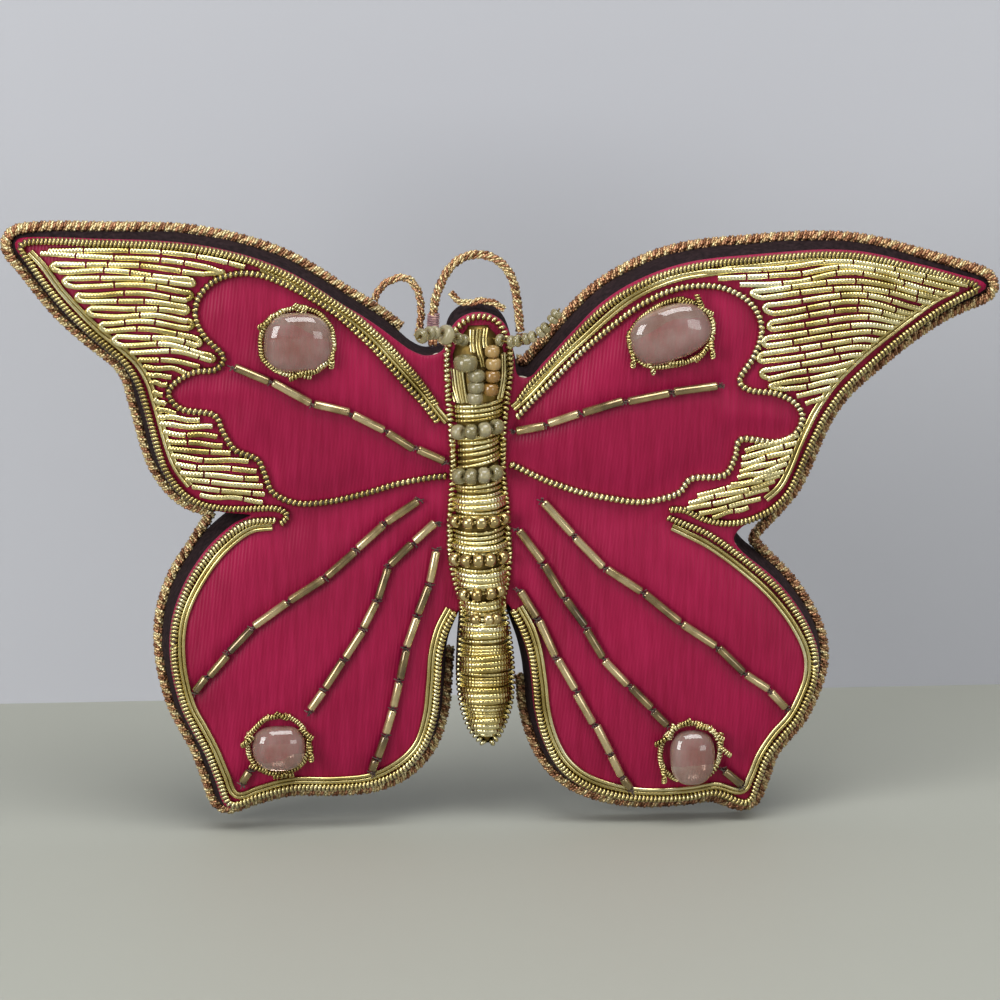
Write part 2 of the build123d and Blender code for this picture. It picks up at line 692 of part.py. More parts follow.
# Coils along both edges of the body, over the satin and down to the tail,
# and one over the top of the head
crotch_row = 606
edge_ends = [[(484, 745)], [(494, 748)]]
body_coil_tables = [
    (name, [(edge[side + 1], edge[0]) for edge in body_edge_pixels] + edge_ends[side])
    for side, name in enumerate(("left_body_coil", "right_body_coil"))
]
head_coil_pixels = [
    (449, 347), (454, 334), (463, 323), (474, 317), (487, 317), (499, 322), (507, 334),
    (511, 347),
]
for name, edge in body_coil_tables + [("head_coil", head_coil_pixels)]:
    points = []
    for column, row in edge:
        x, z = flat_point(column, row)
        seat_y = body_seat_y if row > crotch_row else back_y - satin_height(x, z)
        points.append((x, seat_y - coil_radius - lay_gap, z))
    with BuildPart() as body_coil:
        with BuildLine() as route:
            FilletPolyline(*points, radius=corner_radii(points))
        path = route.wire()
        with BuildSketch(Plane(origin=path @ 0, z_dir=path % 0)):
            RegularPolygon(coil_radius, wire_sides)
        sweep(path=path)
    body_coil.part.label = name
    export_step(body_coil.part, f"parts/{name}.step")

# Purl bands across the body: the row of each at the middle, and how many
# pixels lower its right end lies than the middle
collar_band_pixels = [(401, -3), (407, -3), (413, -3), (438, -4), (444, -4), (450, -5)]
chest_band_pixels = [(485, -2), (491, -1), (497, 0), (503, 0)]
waist_band_pixels = [
    (528, -2), (534, -1), (540, -1), (567, -1), (573, -1), (579, -1), (600, -2), (606, -2),
]
abdomen_band_pixels = [
    (628, 0), (634, 0), (640, 0), (656, 0), (662, 0), (668, 0), (689, 0), (695, 0),
    (701, 0), (720, 0), (726, 0), (732, 0),
]
crest_share = 0.9
crest_y = body_seat_y - body_rise * crest_share
half_width_pixels = 27


def bands(rows, radius):
    """Purl threads bent over the body from edge to edge."""
    threads = []
    for row, fall in rows:
        x, y, z = picture_point(body_column, row, crest_y)
        centre_x, height, half, rise = body_section(z)
        bow = (half**2 + rise**2) / (2 * rise)
        reach = bow + radius + lay_gap
        half_turn = degrees(asin((half - band_end_inset) / reach))
        lean = atan(-fall / half_width_pixels)
        tilt_plane = Plane(
            origin=(centre_x, body_seat_y - rise + bow, z),
            x_dir=Vector(cos(lean), 0, sin(lean)), z_dir=Vector(-sin(lean), 0, cos(lean)),
        )
        with BuildPart() as thread:
            with BuildLine(tilt_plane) as route:
                CenterArc((0, 0), reach, -90 - half_turn, 2 * half_turn)
            path = route.wire()
            with BuildSketch(Plane(origin=path @ 0, z_dir=path % 0)):
                RegularPolygon(radius, wire_sides)
            sweep(path=path)
        threads.append(thread.part)
    return threads


for name, rows, radius in (
    ("collar_bands", collar_band_pixels, band_radius),
    ("chest_bands", chest_band_pixels, band_radius),
    ("waist_bands", waist_band_pixels, band_radius),
    ("abdomen_bands", abdomen_band_pixels, smooth_band_radius),
):
    threads = bands(rows, radius)
    with BuildPart() as band_group:
        add(threads)
    band_group.part.label = name
    export_step(band_group.part, f"parts/{name}.step")


def barrel_bead(radius, length, bore):
    """A seed bead: a chamfered barrel along Z, bored through if it has a bore."""
    end = length / 2
    with BuildPart() as bead:
        with BuildSketch(Plane.XY.offset(-end)):
            RegularPolygon(radius, bead_sides)
        extrude(amount=length)
        ends = bead.faces().filter_by(Axis.Z)
        chamfer(ends.edges(), radius * bead_chamfer_share)
        if bore:
            with BuildSketch(Plane.XY.offset(-end)):
                RegularPolygon(bore, wire_sides)
            extrude(amount=length, mode=Mode.SUBTRACT)
    return bead.part


# Beads sewn across the body, by the column and row of each. They are drawn
# without bores: their threads are not seen.
gilt_bead = barrel_bead(bead_radius, bead_length, 0)
clear_bead = barrel_bead(clear_bead_radius, clear_bead_length, 0)
eye_bead = barrel_bead(eye_bead_radius, eye_bead_length, 0)
thorax_clear_bead_pixels = [
    (461, 428), (474, 426), (487, 424), (499, 422), (462, 470), (474, 470), (486, 469),
    (498, 468),
]
gilt_bead_pixels = [
    (459, 518), (470, 518), (481, 517), (492, 516), (503, 515), (460, 555), (470, 555),
    (481, 554), (492, 553), (502, 553), (468, 591), (480, 590), (492, 589), (479, 617),
    (491, 616),
]
head_clear_bead_pixels = [(476, 370), (476, 381), (476, 392)]
head_amber_bead_pixels = [(492, 352), (493, 363), (492, 374), (491, 386)]
eye_bead_pixels = [(463, 356)]


def sewn_beads(bead, radius, pixels, upright):
    """Copies of a bead on the body, threaded upwards or from side to side."""
    copies = []
    for column, row in pixels:
        x, y, z = picture_point(column, row, crest_y)
        point, centre = on_body(x, z, radius + lay_gap)
        outwards = (Vector(*point) - Vector(*centre)).normalized()
        along = Vector(0, 0, 1) if upright else outwards.cross(Vector(0, 0, 1))
        copies.append(Plane(origin=point, x_dir=outwards, z_dir=along) * bead)
    return copies


for name, bead_tables in (
    ("thorax_beads", [(clear_bead, clear_bead_radius, thorax_clear_bead_pixels, False)]),
    ("gilt_beads", [(gilt_bead, bead_radius, gilt_bead_pixels, False)]),
    ("head_beads", [(clear_bead, clear_bead_radius, head_clear_bead_pixels, True),
                    (eye_bead, eye_bead_radius, eye_bead_pixels, True)]),
    ("amber_beads", [(gilt_bead, bead_radius, head_amber_bead_pixels, True)]),
):
    with BuildPart() as bead_group:
        for bead, radius, pixels, upright in bead_tables:
            add(sewn_beads(bead, radius, pixels, upright))
    bead_group.part.label = name
    export_step(bead_group.part, f"parts/{name}.step")

# Smooth threads down both sides of the head and up to its top
head_thread_pixels = [
    [(474, 331), (474, 338), (474, 345)],
    [(480, 331), (480, 345), (482, 359)],
    [(454, 369), (456, 384), (459, 395)],
    [(460, 369), (462, 384), (465, 395)],
    [(502, 352), (502, 374), (500, 394)],
    [(507, 354), (507, 374), (505, 394)],
]
head_thread_parts = []
for pixels in head_thread_pixels:
    points = []
    for column, row in pixels:
        x, y, z = picture_point(column, row, crest_y)
        point, centre = on_body(x, z, smooth_wire_radius + lay_gap)
        points.append(point)
    with BuildPart() as head_thread:
        with BuildLine() as route:
            FilletPolyline(*points, radius=corner_radii(points))
        path = route.wire()
        with BuildSketch(Plane(origin=path @ 0, z_dir=path % 0)):
            RegularPolygon(smooth_wire_radius, wire_sides)
        sweep(path=path)
    head_thread_parts.append(head_thread.part)
with BuildPart() as head_threads:
    add(head_thread_parts)
head_threads.part.label = "head_threads"
export_step(head_threads.part, "parts/head_threads.step")

# Antennae: seed beads on a soft wire. Each turn is a column, a row and the
# share of the reach towards the viewer. Each run has a number of beads of
# one size.
big_bead_share = 1.7
left_antenna_pixels = [
    (469, 341, 0), (454, 337, 0.22), (437, 332, 0.45), (425, 333, 0.68), (415, 338, 0.95),
]
left_antenna_runs = [(2, 1), (1, big_bead_share), (2, 1), (1, 1)]
right_antenna_pixels = [
    (494, 338, 0), (508, 342, 0.22), (522, 341, 0.38), (537, 336, 0.50), (549, 326, 0.58),
    (559, 310, 0.60),
]
right_antenna_runs = [(1, 1), (2, 1), (2, 1), (2, 1), (2, 1)]
antenna_bores = {
    share: barrel_bead(antenna_bead_radius * share, antenna_bead_length * share, bead_bore_radius)
    for share in (1, big_bead_share)
}
for name, pixels, runs in (
    ("left_antenna", left_antenna_pixels, left_antenna_runs),
    ("right_antenna", right_antenna_pixels, right_antenna_runs),
):
    foot_column, foot_row, start_share = pixels[0]
    foot_x, foot_guess, foot_z = picture_point(foot_column, foot_row, crest_y)
    foot, centre = on_body(foot_x, foot_z, antenna_foot_gap)
    turns = [
        picture_point(column, row, foot[1] - antenna_reach * share)
        for column, row, share in pixels
    ]
    print(name, "foot", [round(value, 2) for value in turns[0]])
    with BuildPart() as antenna_wire:
        with BuildLine() as route:
            FilletPolyline(*turns, radius=antenna_bend_radius)
        path = route.wire()
        with BuildSketch(Plane(origin=path @ 0, z_dir=path % 0)):
            RegularPolygon(antenna_wire_radius, wire_sides)
        sweep(path=path)
    antenna_wire.part.label = f"{name}_wire"
    export_step(antenna_wire.part, f"parts/{name}_wire.step")

    strung = []
    for start, end, (count, share) in zip(turns, turns[1:], runs):
        along = (Vector(*end) - Vector(*start)).normalized()
        middle = (Vector(*start) + Vector(*end)) * (1 / 2)
        pitch = antenna_bead_length * share + antenna_bead_gap
        for index in range(count):
            spot = middle + along * (pitch * (index - (count - 1) / 2))
            strung.append(Plane(origin=spot, z_dir=along) * antenna_bores[share])
    with BuildPart() as antenna_beads:
        add(strung)
    antenna_beads.part.label = f"{name}_beads"
    export_step(antenna_beads.part, f"parts/{name}_beads.step")

# Hanging ring of twisted cord: its feet end in knots sewn beside the head
hinge_row = 339
left_knot_column = 435
right_knot_column = 523
foot_row = 331
ring_pixels = [
    (left_knot_column, foot_row), (436, 303), (441, 287), (451, 267), (465, 256), (482, 253),
    (499, 258), (513, 272), (520, 294), (right_knot_column, foot_row),
]
ring_points = [picture_point(column, row, 0) for column, row in ring_pixels]
with BuildPart() as hanging_loop:
    with BuildLine() as route:
        FilletPolyline(*ring_points, radius=corner_radii(ring_points))
    path = route.wire()
    with BuildSketch(Plane(origin=path @ 0, z_dir=path % 0)):
        RegularPolygon(cord_radius, cord_sides)
    sweep(path=path)
expected = tube_volume(cord_radius, cord_sides, path.length)
print("hanging_loop length", round(path.length, 1), "radii",
      [round(radius, 1) for radius in corner_radii(ring_points)], "volume share",
      round(hanging_loop.part.volume / expected, 3))
hanging_loop.part.label = "hanging_loop"
export_step(hanging_loop.part, "parts/hanging_loop.step")

# Thread wound round the left leg of the ring
whipping_bore = cord_radius + layer_gap
leg_start, leg_end = Vector(*ring_points[0]), Vector(*ring_points[1])
leg_direction = (leg_end - leg_start).normalized()
whipping_start = leg_start + leg_direction * (whipping_thickness * 2)
with BuildPart() as loop_whipping:
    with BuildSketch(Plane(origin=whipping_start, z_dir=leg_direction)):
        RegularPolygon(whipping_bore + whipping_thickness, cord_sides)
        RegularPolygon(whipping_bore, cord_sides, mode=Mode.SUBTRACT)
    extrude(amount=whipping_length)
loop_whipping.part.label = "loop_whipping"
export_step(loop_whipping.part, "parts/loop_whipping.step")

# Knots at the feet of the ring, on the line that the ornament swings about
knot = barrel_bead(knot_radius, knot_length, 0)
knot_spots = [
    picture_point(column, hinge_row, 0) for column in (left_knot_column, right_knot_column)
]
print("hinge", [round(value, 2) for value in knot_spots[0]])
with BuildPart() as foot_knots:
    for spot in knot_spots:
        add(Plane(origin=spot, x_dir=(0, 1, 0), z_dir=(1, 0, 0)) * knot)
foot_knots.part.label = "foot_knots"
export_step(foot_knots.part, "parts/foot_knots.step")

# Cut ends of the cord: the slack arch beside the ring, and the end laid over
# the head. Each turn is a column, a row and the share of the back depth.
slack_cord_pixels = [
    (377, 297, 0.44), (385, 284, 0.42), (397, 277, 0.38), (409, 276, 0.32), (418, 284, 0.28),
    (423, 297, 0.28), (424, 316, 0.32), (421, 334, 0.4),
]
head_cord_pixels = [
    (454, 291, 0.1), (460, 299, 0.1), (471, 302, 0.1), (484, 300, 0.1), (498, 303, 0.1),
    (507, 309, 0.1),
]
for name, pixels, radius in (
    ("slack_cord", slack_cord_pixels, slack_cord_radius),
    ("head_cord", head_cord_pixels, head_cord_radius),
):
    points = [picture_point(column, row, back_y * share) for column, row, share in pixels]
    with BuildPart() as cord_end:
        with BuildLine() as route:
            FilletPolyline(*points, radius=corner_radii(points))
        path = route.wire()
        with BuildSketch(Plane(origin=path @ 0, z_dir=path % 0)):
            RegularPolygon(radius, braid_sides)
        sweep(path=path)
    print(name, "length", round(path.length, 1), "radii",
          [round(radius, 1) for radius in corner_radii(points)])
    cord_end.part.label = name
    export_step(cord_end.part, f"parts/{name}.step")
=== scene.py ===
from math import cos, pi, radians, sin

import bmesh
import bpy
import numpy as np
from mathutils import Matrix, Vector
from mathutils.geometry import delaunay_2d_cdt


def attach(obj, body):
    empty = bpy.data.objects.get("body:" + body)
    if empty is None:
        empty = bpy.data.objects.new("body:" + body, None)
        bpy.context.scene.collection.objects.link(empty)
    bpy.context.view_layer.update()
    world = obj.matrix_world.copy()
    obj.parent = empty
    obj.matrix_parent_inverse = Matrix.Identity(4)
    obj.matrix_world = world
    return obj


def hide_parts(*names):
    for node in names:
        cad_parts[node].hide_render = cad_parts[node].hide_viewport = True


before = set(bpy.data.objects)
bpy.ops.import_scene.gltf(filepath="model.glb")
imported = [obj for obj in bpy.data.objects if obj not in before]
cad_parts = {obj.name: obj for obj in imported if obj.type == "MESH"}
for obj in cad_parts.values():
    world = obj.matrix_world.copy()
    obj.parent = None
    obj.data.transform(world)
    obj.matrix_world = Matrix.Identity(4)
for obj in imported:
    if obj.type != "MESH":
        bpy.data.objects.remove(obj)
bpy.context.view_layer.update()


# ---------------------------------------------------------------------------
# Camera
# The ornament is seen from a little above and a little to its left, through a
# long lens, as it hangs in front of a pale wall.

body_column, ring_row, pixel = 487, 258, 150 / 992
view_tilt, view_turn, camera_distance = radians(13.0), radians(-4.5), 1.3
picture_columns, picture_margin, sensor_width, mm = 1000, 1.006, 36, 0.001
back_y, rim_y = 4.5, -1.3


def picture_point(column, row, y):
    """A point of the picture at a known depth, in millimetres."""
    rise = (ring_row - row) * pixel - y * sin(view_tilt)
    return ((column - body_column) * pixel, y, rise / cos(view_tilt))


def new_object(name, data):
    """An object of the scene."""
    made = bpy.data.objects.new(name, data)
    bpy.context.scene.collection.objects.link(made)
    return made


target = Vector(picture_point(502, 500, rim_y)) * mm
backwards = Vector((
    sin(view_turn) * cos(view_tilt), -cos(view_turn) * cos(view_tilt), sin(view_tilt)))
camera_data = bpy.data.cameras.new("camera")
camera = new_object("camera", camera_data)
camera.location = target + backwards * camera_distance
camera.rotation_euler = backwards.to_track_quat("Z", "Y").to_euler()
camera_data.sensor_width = sensor_width
camera_data.lens = sensor_width * camera_distance / (picture_columns * pixel * mm * picture_margin)
camera_data.clip_start, camera_data.clip_end = 0.05, 10
bpy.context.scene.camera = camera


# ---------------------------------------------------------------------------
# Hanging ring
# The ring is a few gilt threads laid together with a slow twist. Its feet end
# in sewn knots beside the head, and the left leg is bound with thread.

def add_node(tree, kind, inputs=None, **settings):
    """Adds a node to a tree, with its settings and what feeds its sockets."""
    made = tree.nodes.new(kind)
    for name, value in settings.items():
        setattr(made, name, value)
    for socket, value in (inputs or {}).items():
        target_socket = made.inputs[socket]
        if isinstance(value, bpy.types.NodeSocket):
            tree.links.new(value, target_socket)
        else:
            target_socket.default_value = value
    return made


def linear(hex_colour):
    """An sRGB hex colour as linear red, green, blue and alpha."""
    parts = [int(hex_colour[i:i + 2], 16) / 255 for i in (1, 3, 5)]
    return [p / 12.92 if p <= 0.04045 else ((p + 0.055) / 1.055) ** 2.4 for p in parts] + [1]


def new_material(name, **surface):
    """A material with one Principled shader, whose sockets are set by name."""
    made = bpy.data.materials.new(name)
    made.use_nodes = True
    tree = made.node_tree
    shader = tree.nodes["Principled BSDF"]
    for socket, value in surface.items():
        shader.inputs[socket.replace("_", " ")].default_value = value
    return made, tree, shader


def ramp(tree, factor, stops):
    """A colour ramp through hex colours at the given places."""
    made = add_node(tree, "ShaderNodeValToRGB", {"Fac": factor})
    elements = made.color_ramp.elements
    for index, (place, colour) in enumerate(stops):
        element = elements[index] if index < 2 else elements.new(place)
        element.position, element.color = place, linear(colour)
    return made.outputs["Color"]


def tint(tree, shader, factor, stops):
    """Colours a shader by a ramp."""
    tree.links.new(ramp(tree, factor, stops), shader.inputs["Base Color"])


def place_in(tree):
    """The place on the object, as a texture sees it."""
    return add_node(tree, "ShaderNodeTexCoord").outputs["Object"]


def noise(tree, scale, detail=2.0, roughness=0.5):
    """The value of a noise texture that runs through the object."""
    return add_node(tree, "ShaderNodeTexNoise", {
        "Vector": place_in(tree), "Scale": scale, "Detail": detail,
        "Roughness": roughness}).outputs["Fac"]


def carried(tree, name):
    """A value that threads and beads carry: the tone of each, the run along it."""
    return add_node(tree, "ShaderNodeAttribute", attribute_name=name).outputs["Fac"]


def calculate(tree, operation, *values):
    """The result of one math node."""
    return add_node(
        tree, "ShaderNodeMath", dict(enumerate(values)), operation=operation).outputs[0]


def ribs(tree, pitch):
    """A wave along a thread, its pitch in metres."""
    return calculate(tree, "SINE", calculate(tree, "MULTIPLY", carried(tree, "run"), 2 * pi / pitch))


def emboss(tree, shader, height, strength, depth):
    """Gives a shader fine relief, its depth in metres."""
    bump = add_node(tree, "ShaderNodeBump", {
        "Height": height, "Strength": strength, "Distance": depth})
    tree.links.new(bump.outputs["Normal"], shader.inputs["Normal"])


def grained(name, scale, detail, dark, light, **surface):
    """A plain material whose colour wanders between two shades."""
    made, tree, shader = new_material(name, **surface)
    tint(tree, shader, noise(tree, scale, detail), [(0.3, dark), (0.7, light)])
    return made


def smooth_line(points, step):
    """A smooth line through points, divided into equal steps, millimetres."""
    points = np.asarray(points, float)
    if len(points) < 3:
        ends = points
    else:
        padded = np.vstack([2 * points[0] - points[1], points, 2 * points[-1] - points[-2]])
        t = np.linspace(0, 1, 12, endpoint=False)[:, None]
        pieces = []
        for a, b, c, d in zip(padded, padded[1:], padded[2:], padded[3:]):
            pieces.append(0.5 * (2 * b + (c - a) * t + (2 * a - 5 * b + 4 * c - d) * t**2
                                 + (3 * b - a - 3 * c + d) * t**3))
        ends = np.vstack(pieces + [points[-1:]])
    return even_steps(ends, step)


def run_along(line):
    """How far along a line each of its points is."""
    return np.concatenate([[0], np.cumsum(np.linalg.norm(np.diff(line, axis=0), axis=1))])


def even_steps(line, step):
    """A line divided again into equal steps."""
    run = run_along(line)
    places = np.linspace(0, run[-1], max(2, int(round(run[-1] / step)) + 1))
    return np.stack([np.interp(places, run, line[:, k]) for k in range(3)], axis=1)


def line_frames(line):
    """Side and up directions at each point of a line, without twist."""
    along = np.gradient(line, axis=0)
    along /= np.linalg.norm(along, axis=1)[:, None]
    up = np.array([0.0, -1.0, 0.0])
    sides, ups = [], []
    for direction in along:
        side = np.cross(direction, up)
        if np.linalg.norm(side) < 1e-6:
            side = np.cross(direction, [1.0, 0, 0])
        side /= np.linalg.norm(side)
        up = np.cross(side, direction)
        sides.append(side)
        ups.append(up)
    return np.array(sides), np.array(ups)


def strand_lines(line, strands, lay, pitch):
    """The middle lines of strands that wind round a line."""
    sides, ups = line_frames(line)
    turns = [2 * pi * (run_along(line) / pitch + strand / strands) for strand in range(strands)]
    return [line + lay * (np.cos(turn)[:, None] * sides + np.sin(turn)[:, None] * ups)
            for turn in turns]


def cord_threads(line, strands, lay, pitch, threads, thread_lay, thread_pitch):
    """The threads of a cord, whose strands are laid from threads themselves."""
    return [thread for strand in strand_lines(line, strands, lay, pitch)
            for thread in strand_lines(strand, threads, thread_lay, thread_pitch)]


def finish_piece(piece, body, slot, *nodes):
    """Gives a piece its body and hides the nodes of the solid model that it stands for. The slot is not
    used.
    """
    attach(piece, body)
    if nodes:
        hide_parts(*nodes)


def line_object(name, lines, tones):
    """Loose edges along lines given in millimetres, with a tone for each line."""
    verts, edges, tone_values = [], [], []
    for line, tone in zip(lines, tones):
        first = len(verts)
        verts.extend((np.asarray(line) * mm).tolist())
        edges.extend((first + i, first + i + 1) for i in range(len(line) - 1))
        tone_values.extend([tone] * len(line))
    mesh = bpy.data.meshes.new(name)
    mesh.from_pydata(verts, edges, [])
    mesh.attributes.new("tone", "FLOAT", "POINT").data.foreach_set("value", tone_values)
    return new_object(name, mesh)


def new_tree(name, sockets):
    """An empty Geometry Nodes tree with named inputs, and its two ends."""
    tree = bpy.data.node_groups.new(name, "GeometryNodeTree")
    tree.interface.new_socket(name="Geometry", in_out="INPUT", socket_type="NodeSocketGeometry")
    for socket, kind in sockets:
        tree.interface.new_socket(name=socket, in_out="INPUT", socket_type=kind)
    tree.interface.new_socket(name="Geometry", in_out="OUTPUT", socket_type="NodeSocketGeometry")
    return tree, add_node(tree, "NodeGroupInput").outputs, add_node(tree, "NodeGroupOutput")


def end_tree(tree, end, geometry, material):
    """Ends a tree with real, smooth geometry in one material."""
    real = add_node(tree, "GeometryNodeRealizeInstances", {"Geometry": geometry})
    smoothed = add_node(tree, "GeometryNodeSetShadeSmooth", {"Geometry": real.outputs["Geometry"]})
    painted = add_node(tree, "GeometryNodeSetMaterial", {
        "Geometry": smoothed.outputs["Geometry"], "Material": material})
    tree.links.new(painted.outputs["Geometry"], end.inputs["Geometry"])


def grown(source, tree, inputs):
    """The plain mesh that a tree grows on an object, which it takes over."""
    modifier = source.modifiers.new("grow", "NODES")
    modifier.node_group = tree
    for item in tree.interface.items_tree:
        if item.in_out == "INPUT" and item.name in inputs:
            modifier[item.identifier] = inputs[item.name]
    bpy.context.view_layer.update()
    depsgraph = bpy.context.evaluated_depsgraph_get()
    mesh = bpy.data.meshes.new_from_object(source.evaluated_get(depsgraph))
    source.modifiers.clear()
    old, source.data = source.data, mesh
    bpy.data.meshes.remove(old)
    return source


# Thread tree: each loose line becomes a round thread with closed ends
thread_tree, sockets, end = new_tree("round_threads", [
    ("Radius", "NodeSocketFloat"), ("Sides", "NodeSocketInt"), ("Material", "NodeSocketMaterial")])
curves = add_node(thread_tree, "GeometryNodeMeshToCurve", {"Mesh": sockets["Geometry"]})
parameter = add_node(thread_tree, "GeometryNodeSplineParameter")
stored = add_node(thread_tree, "GeometryNodeStoreNamedAttribute", {
    "Geometry": curves.outputs["Curve"], "Name": "run", "Value": parameter.outputs["Length"]},
    data_type="FLOAT", domain="POINT")
profile = add_node(thread_tree, "GeometryNodeCurvePrimitiveCircle", {
    "Resolution": sockets["Sides"], "Radius": sockets["Radius"]})
swept = add_node(thread_tree, "GeometryNodeCurveToMesh", {
    "Curve": stored.outputs["Geometry"], "Profile Curve": profile.outputs["Curve"], "Fill Caps": True})
end_tree(thread_tree, end, swept.outputs["Mesh"], sockets["Material"])

chance = np.random.default_rng(7)


def round_threads(name, lines, radius, sides, material):
    """Round threads along lines, as one mesh."""
    tones = chance.random(len(lines))
    return grown(line_object(name, lines, tones), thread_tree, {
        "Radius": radius * mm, "Sides": sides, "Material": material})


# Gilt cord: fine foil wound on thread, rosy where the foil has worn thin.
# Its strands differ a little in tone, and the foil's edges show as fine ribs.
gold_cord, tree, shader = new_material(
    "gilt_foil_cord", Metallic=0.85, Roughness=0.4, Specular_IOR_Level=0.5)
worn = calculate(tree, "ADD", carried(tree, "tone"), noise(tree, 260.0, 3.0))
tint(tree, shader, calculate(tree, "MULTIPLY", worn, 0.5), [
    (0.25, "#7A5238"), (0.75, "#DFD0A0"), (0.42, "#BC8A68"), (0.58, "#C6AC7C")])
emboss(tree, shader, ribs(tree, 0.00045), 0.5, 0.00008)

cord_radius, hinge_row = 0.75, 339
ring_route = [
    (435, 331), (436, 303), (441, 287), (451, 267), (465, 256), (482, 253), (499, 258),
    (513, 272), (520, 294), (523, 331)]
route_curve = bpy.data.curves.new("ring_route", "CURVE")
route_curve.dimensions = "3D"
route_spline = route_curve.splines.new("NURBS")
route_spline.points.add(len(ring_route) - 1)
for point, (column, row) in zip(route_spline.points, ring_route):
    point.co = [v * mm for v in picture_point(column, row, 0)] + [1]
route_spline.order_u, route_spline.use_endpoint_u, route_spline.resolution_u = 3, True, 16
route_object = new_object("ring_route", route_curve)
route_mesh = bpy.data.meshes.new_from_object(route_object)
ring_path = np.array([v.co for v in route_mesh.vertices])
bpy.data.objects.remove(route_object)
ring_line = even_steps(ring_path / mm, 0.15)
ring_threads = cord_threads(
    ring_line, strands=4, lay=0.40, pitch=9.5, threads=2, thread_lay=0.17, thread_pitch=1.5)
ring = round_threads("ring_of_cord", ring_threads, 0.20, 7, gold_cord)
finish_piece(ring, "loop", "gold_cord", "hanging_loop")

# Thread bound round the left leg, and the sewn knots at both feet
wound_thread = grained(
    "wound_silk_thread", 900.0, 2.0, "#6E4450", "#B98F88", Roughness=0.7, Sheen_Weight=0.4)
leg = even_steps(np.array([picture_point(435, 330, 0), picture_point(436, 312, 0)]), 0.04)
turns = strand_lines(leg, 1, cord_radius + 0.10, 0.34)
whipping = round_threads("leg_whipping", turns, 0.15, 6, wound_thread)
finish_piece(whipping, "loop", "thread", "loop_whipping")

knot_lines = []
for column in (435, 523):
    middle = np.array(picture_point(column, hinge_row, 0))
    for lean in (-0.5, 0.1, 0.7):
        turn = np.linspace(0, 2 * pi * 2.2, 70)
        ball = np.stack([0.44 * np.sin(turn * 0.45 + lean),
                         0.62 * np.cos(turn), 0.62 * np.sin(turn) + 0.1 * lean], axis=1)
        knot_lines.append(middle + ball)
knots = round_threads("foot_knots_sewn", knot_lines, 0.26, 7, gold_cord)
finish_piece(knots, "loop", "gold_cord", "foot_knots")


# ---------------------------------------------------------------------------
# Wings
# The fuchsia satin is drawn over felt and card, and swells between the lines
# that hold it down. Each wing swells by itself and thins out to its tip.

panel_depth, crown_radius = 7.6, 210.0


def front_place(column, row):
    """x and z of a picture point on the front of the wings, millimetres."""
    return picture_point(column, row, rim_y)[::2]


def front_places(pixels):
    """x and z of picture points on the front of the wings, millimetres."""
    return np.array([front_place(column, row) for column, row in pixels])


crown_centres = front_places([(292, 402), (264, 636), (692, 402), (696, 642)])


def crown_height(flat):
    """How far the padding stands in front of the back face."""
    falls = [crown_radius - np.sqrt(crown_radius**2 - np.sum((flat - centre) ** 2, axis=1))
             for centre in crown_centres]
    return panel_depth - np.min(falls, axis=0)


outline_pixels = [
    (398, 339), (381, 326), (362, 313), (342, 301), (318, 285), (290, 269), (258, 256),
    (225, 247), (190, 241), (150, 238), (100, 237), (55, 236), (28, 237), (20, 241),
    (22, 249), (33, 262), (52, 287), (69, 307), (89, 326), (108, 342), (126, 357),
    (138, 375), (144, 396), (150, 418), (157, 444), (165, 465), (179, 485),
    (198, 498), (222, 505), (252, 509), (233, 520), (214, 536),
    (201, 551), (186, 574), (175, 600), (170, 622), (169, 645), (172, 672), (180, 702),
    (190, 724), (203, 748), (214, 777), (221, 799), (227, 806), (236, 804), (256, 797),
    (292, 789), (336, 790), (374, 787), (405, 774), (427, 750), (438, 716), (441, 684),
    (443, 655), (449, 632), (462, 608), (488, 601), (511, 605),
    (523, 632), (531, 656), (535, 684), (538, 713), (546, 743), (561, 771), (584, 791),
    (616, 803), (654, 808), (692, 807), (722, 804), (747, 812), (756, 813), (761, 806),
    (768, 787), (776, 765), (790, 747), (805, 729), (817, 705), (824, 681), (823, 655),
    (812, 628), (795, 602), (775, 580), (746, 556), (737, 541), (748, 528), (766, 521),
    (782, 512), (796, 496), (806, 476), (814, 457), (822, 439), (833, 419), (851, 396),
    (879, 371), (911, 346), (944, 324), (968, 312), (989, 304), (995, 299), (988, 294),
    (966, 287), (940, 279), (911, 271), (885, 264), (858, 259), (825, 257), (790, 258),
    (755, 260), (722, 262), (692, 266), (665, 273), (640, 283), (618, 295), (598, 310),
    (579, 329), (562, 347), (546, 364), (533, 378), (519, 376), (515, 356), (512, 337),
    (503, 322), (488, 315), (472, 315), (458, 323), (450, 338), (444, 351), (428, 355),
    (412, 349)]


def in_space(flat, y):
    """Points in x and z, at one depth or at a depth for each."""
    return np.stack([flat[:, 0], np.broadcast_to(y, len(flat)), flat[:, 1]], axis=1)


def square_to(steps):
    """Unit vectors square to steps in x and z."""
    square = np.stack([steps[:, 1], -steps[:, 0]], axis=1)
    return square / np.linalg.norm(square, axis=1)[:, None]


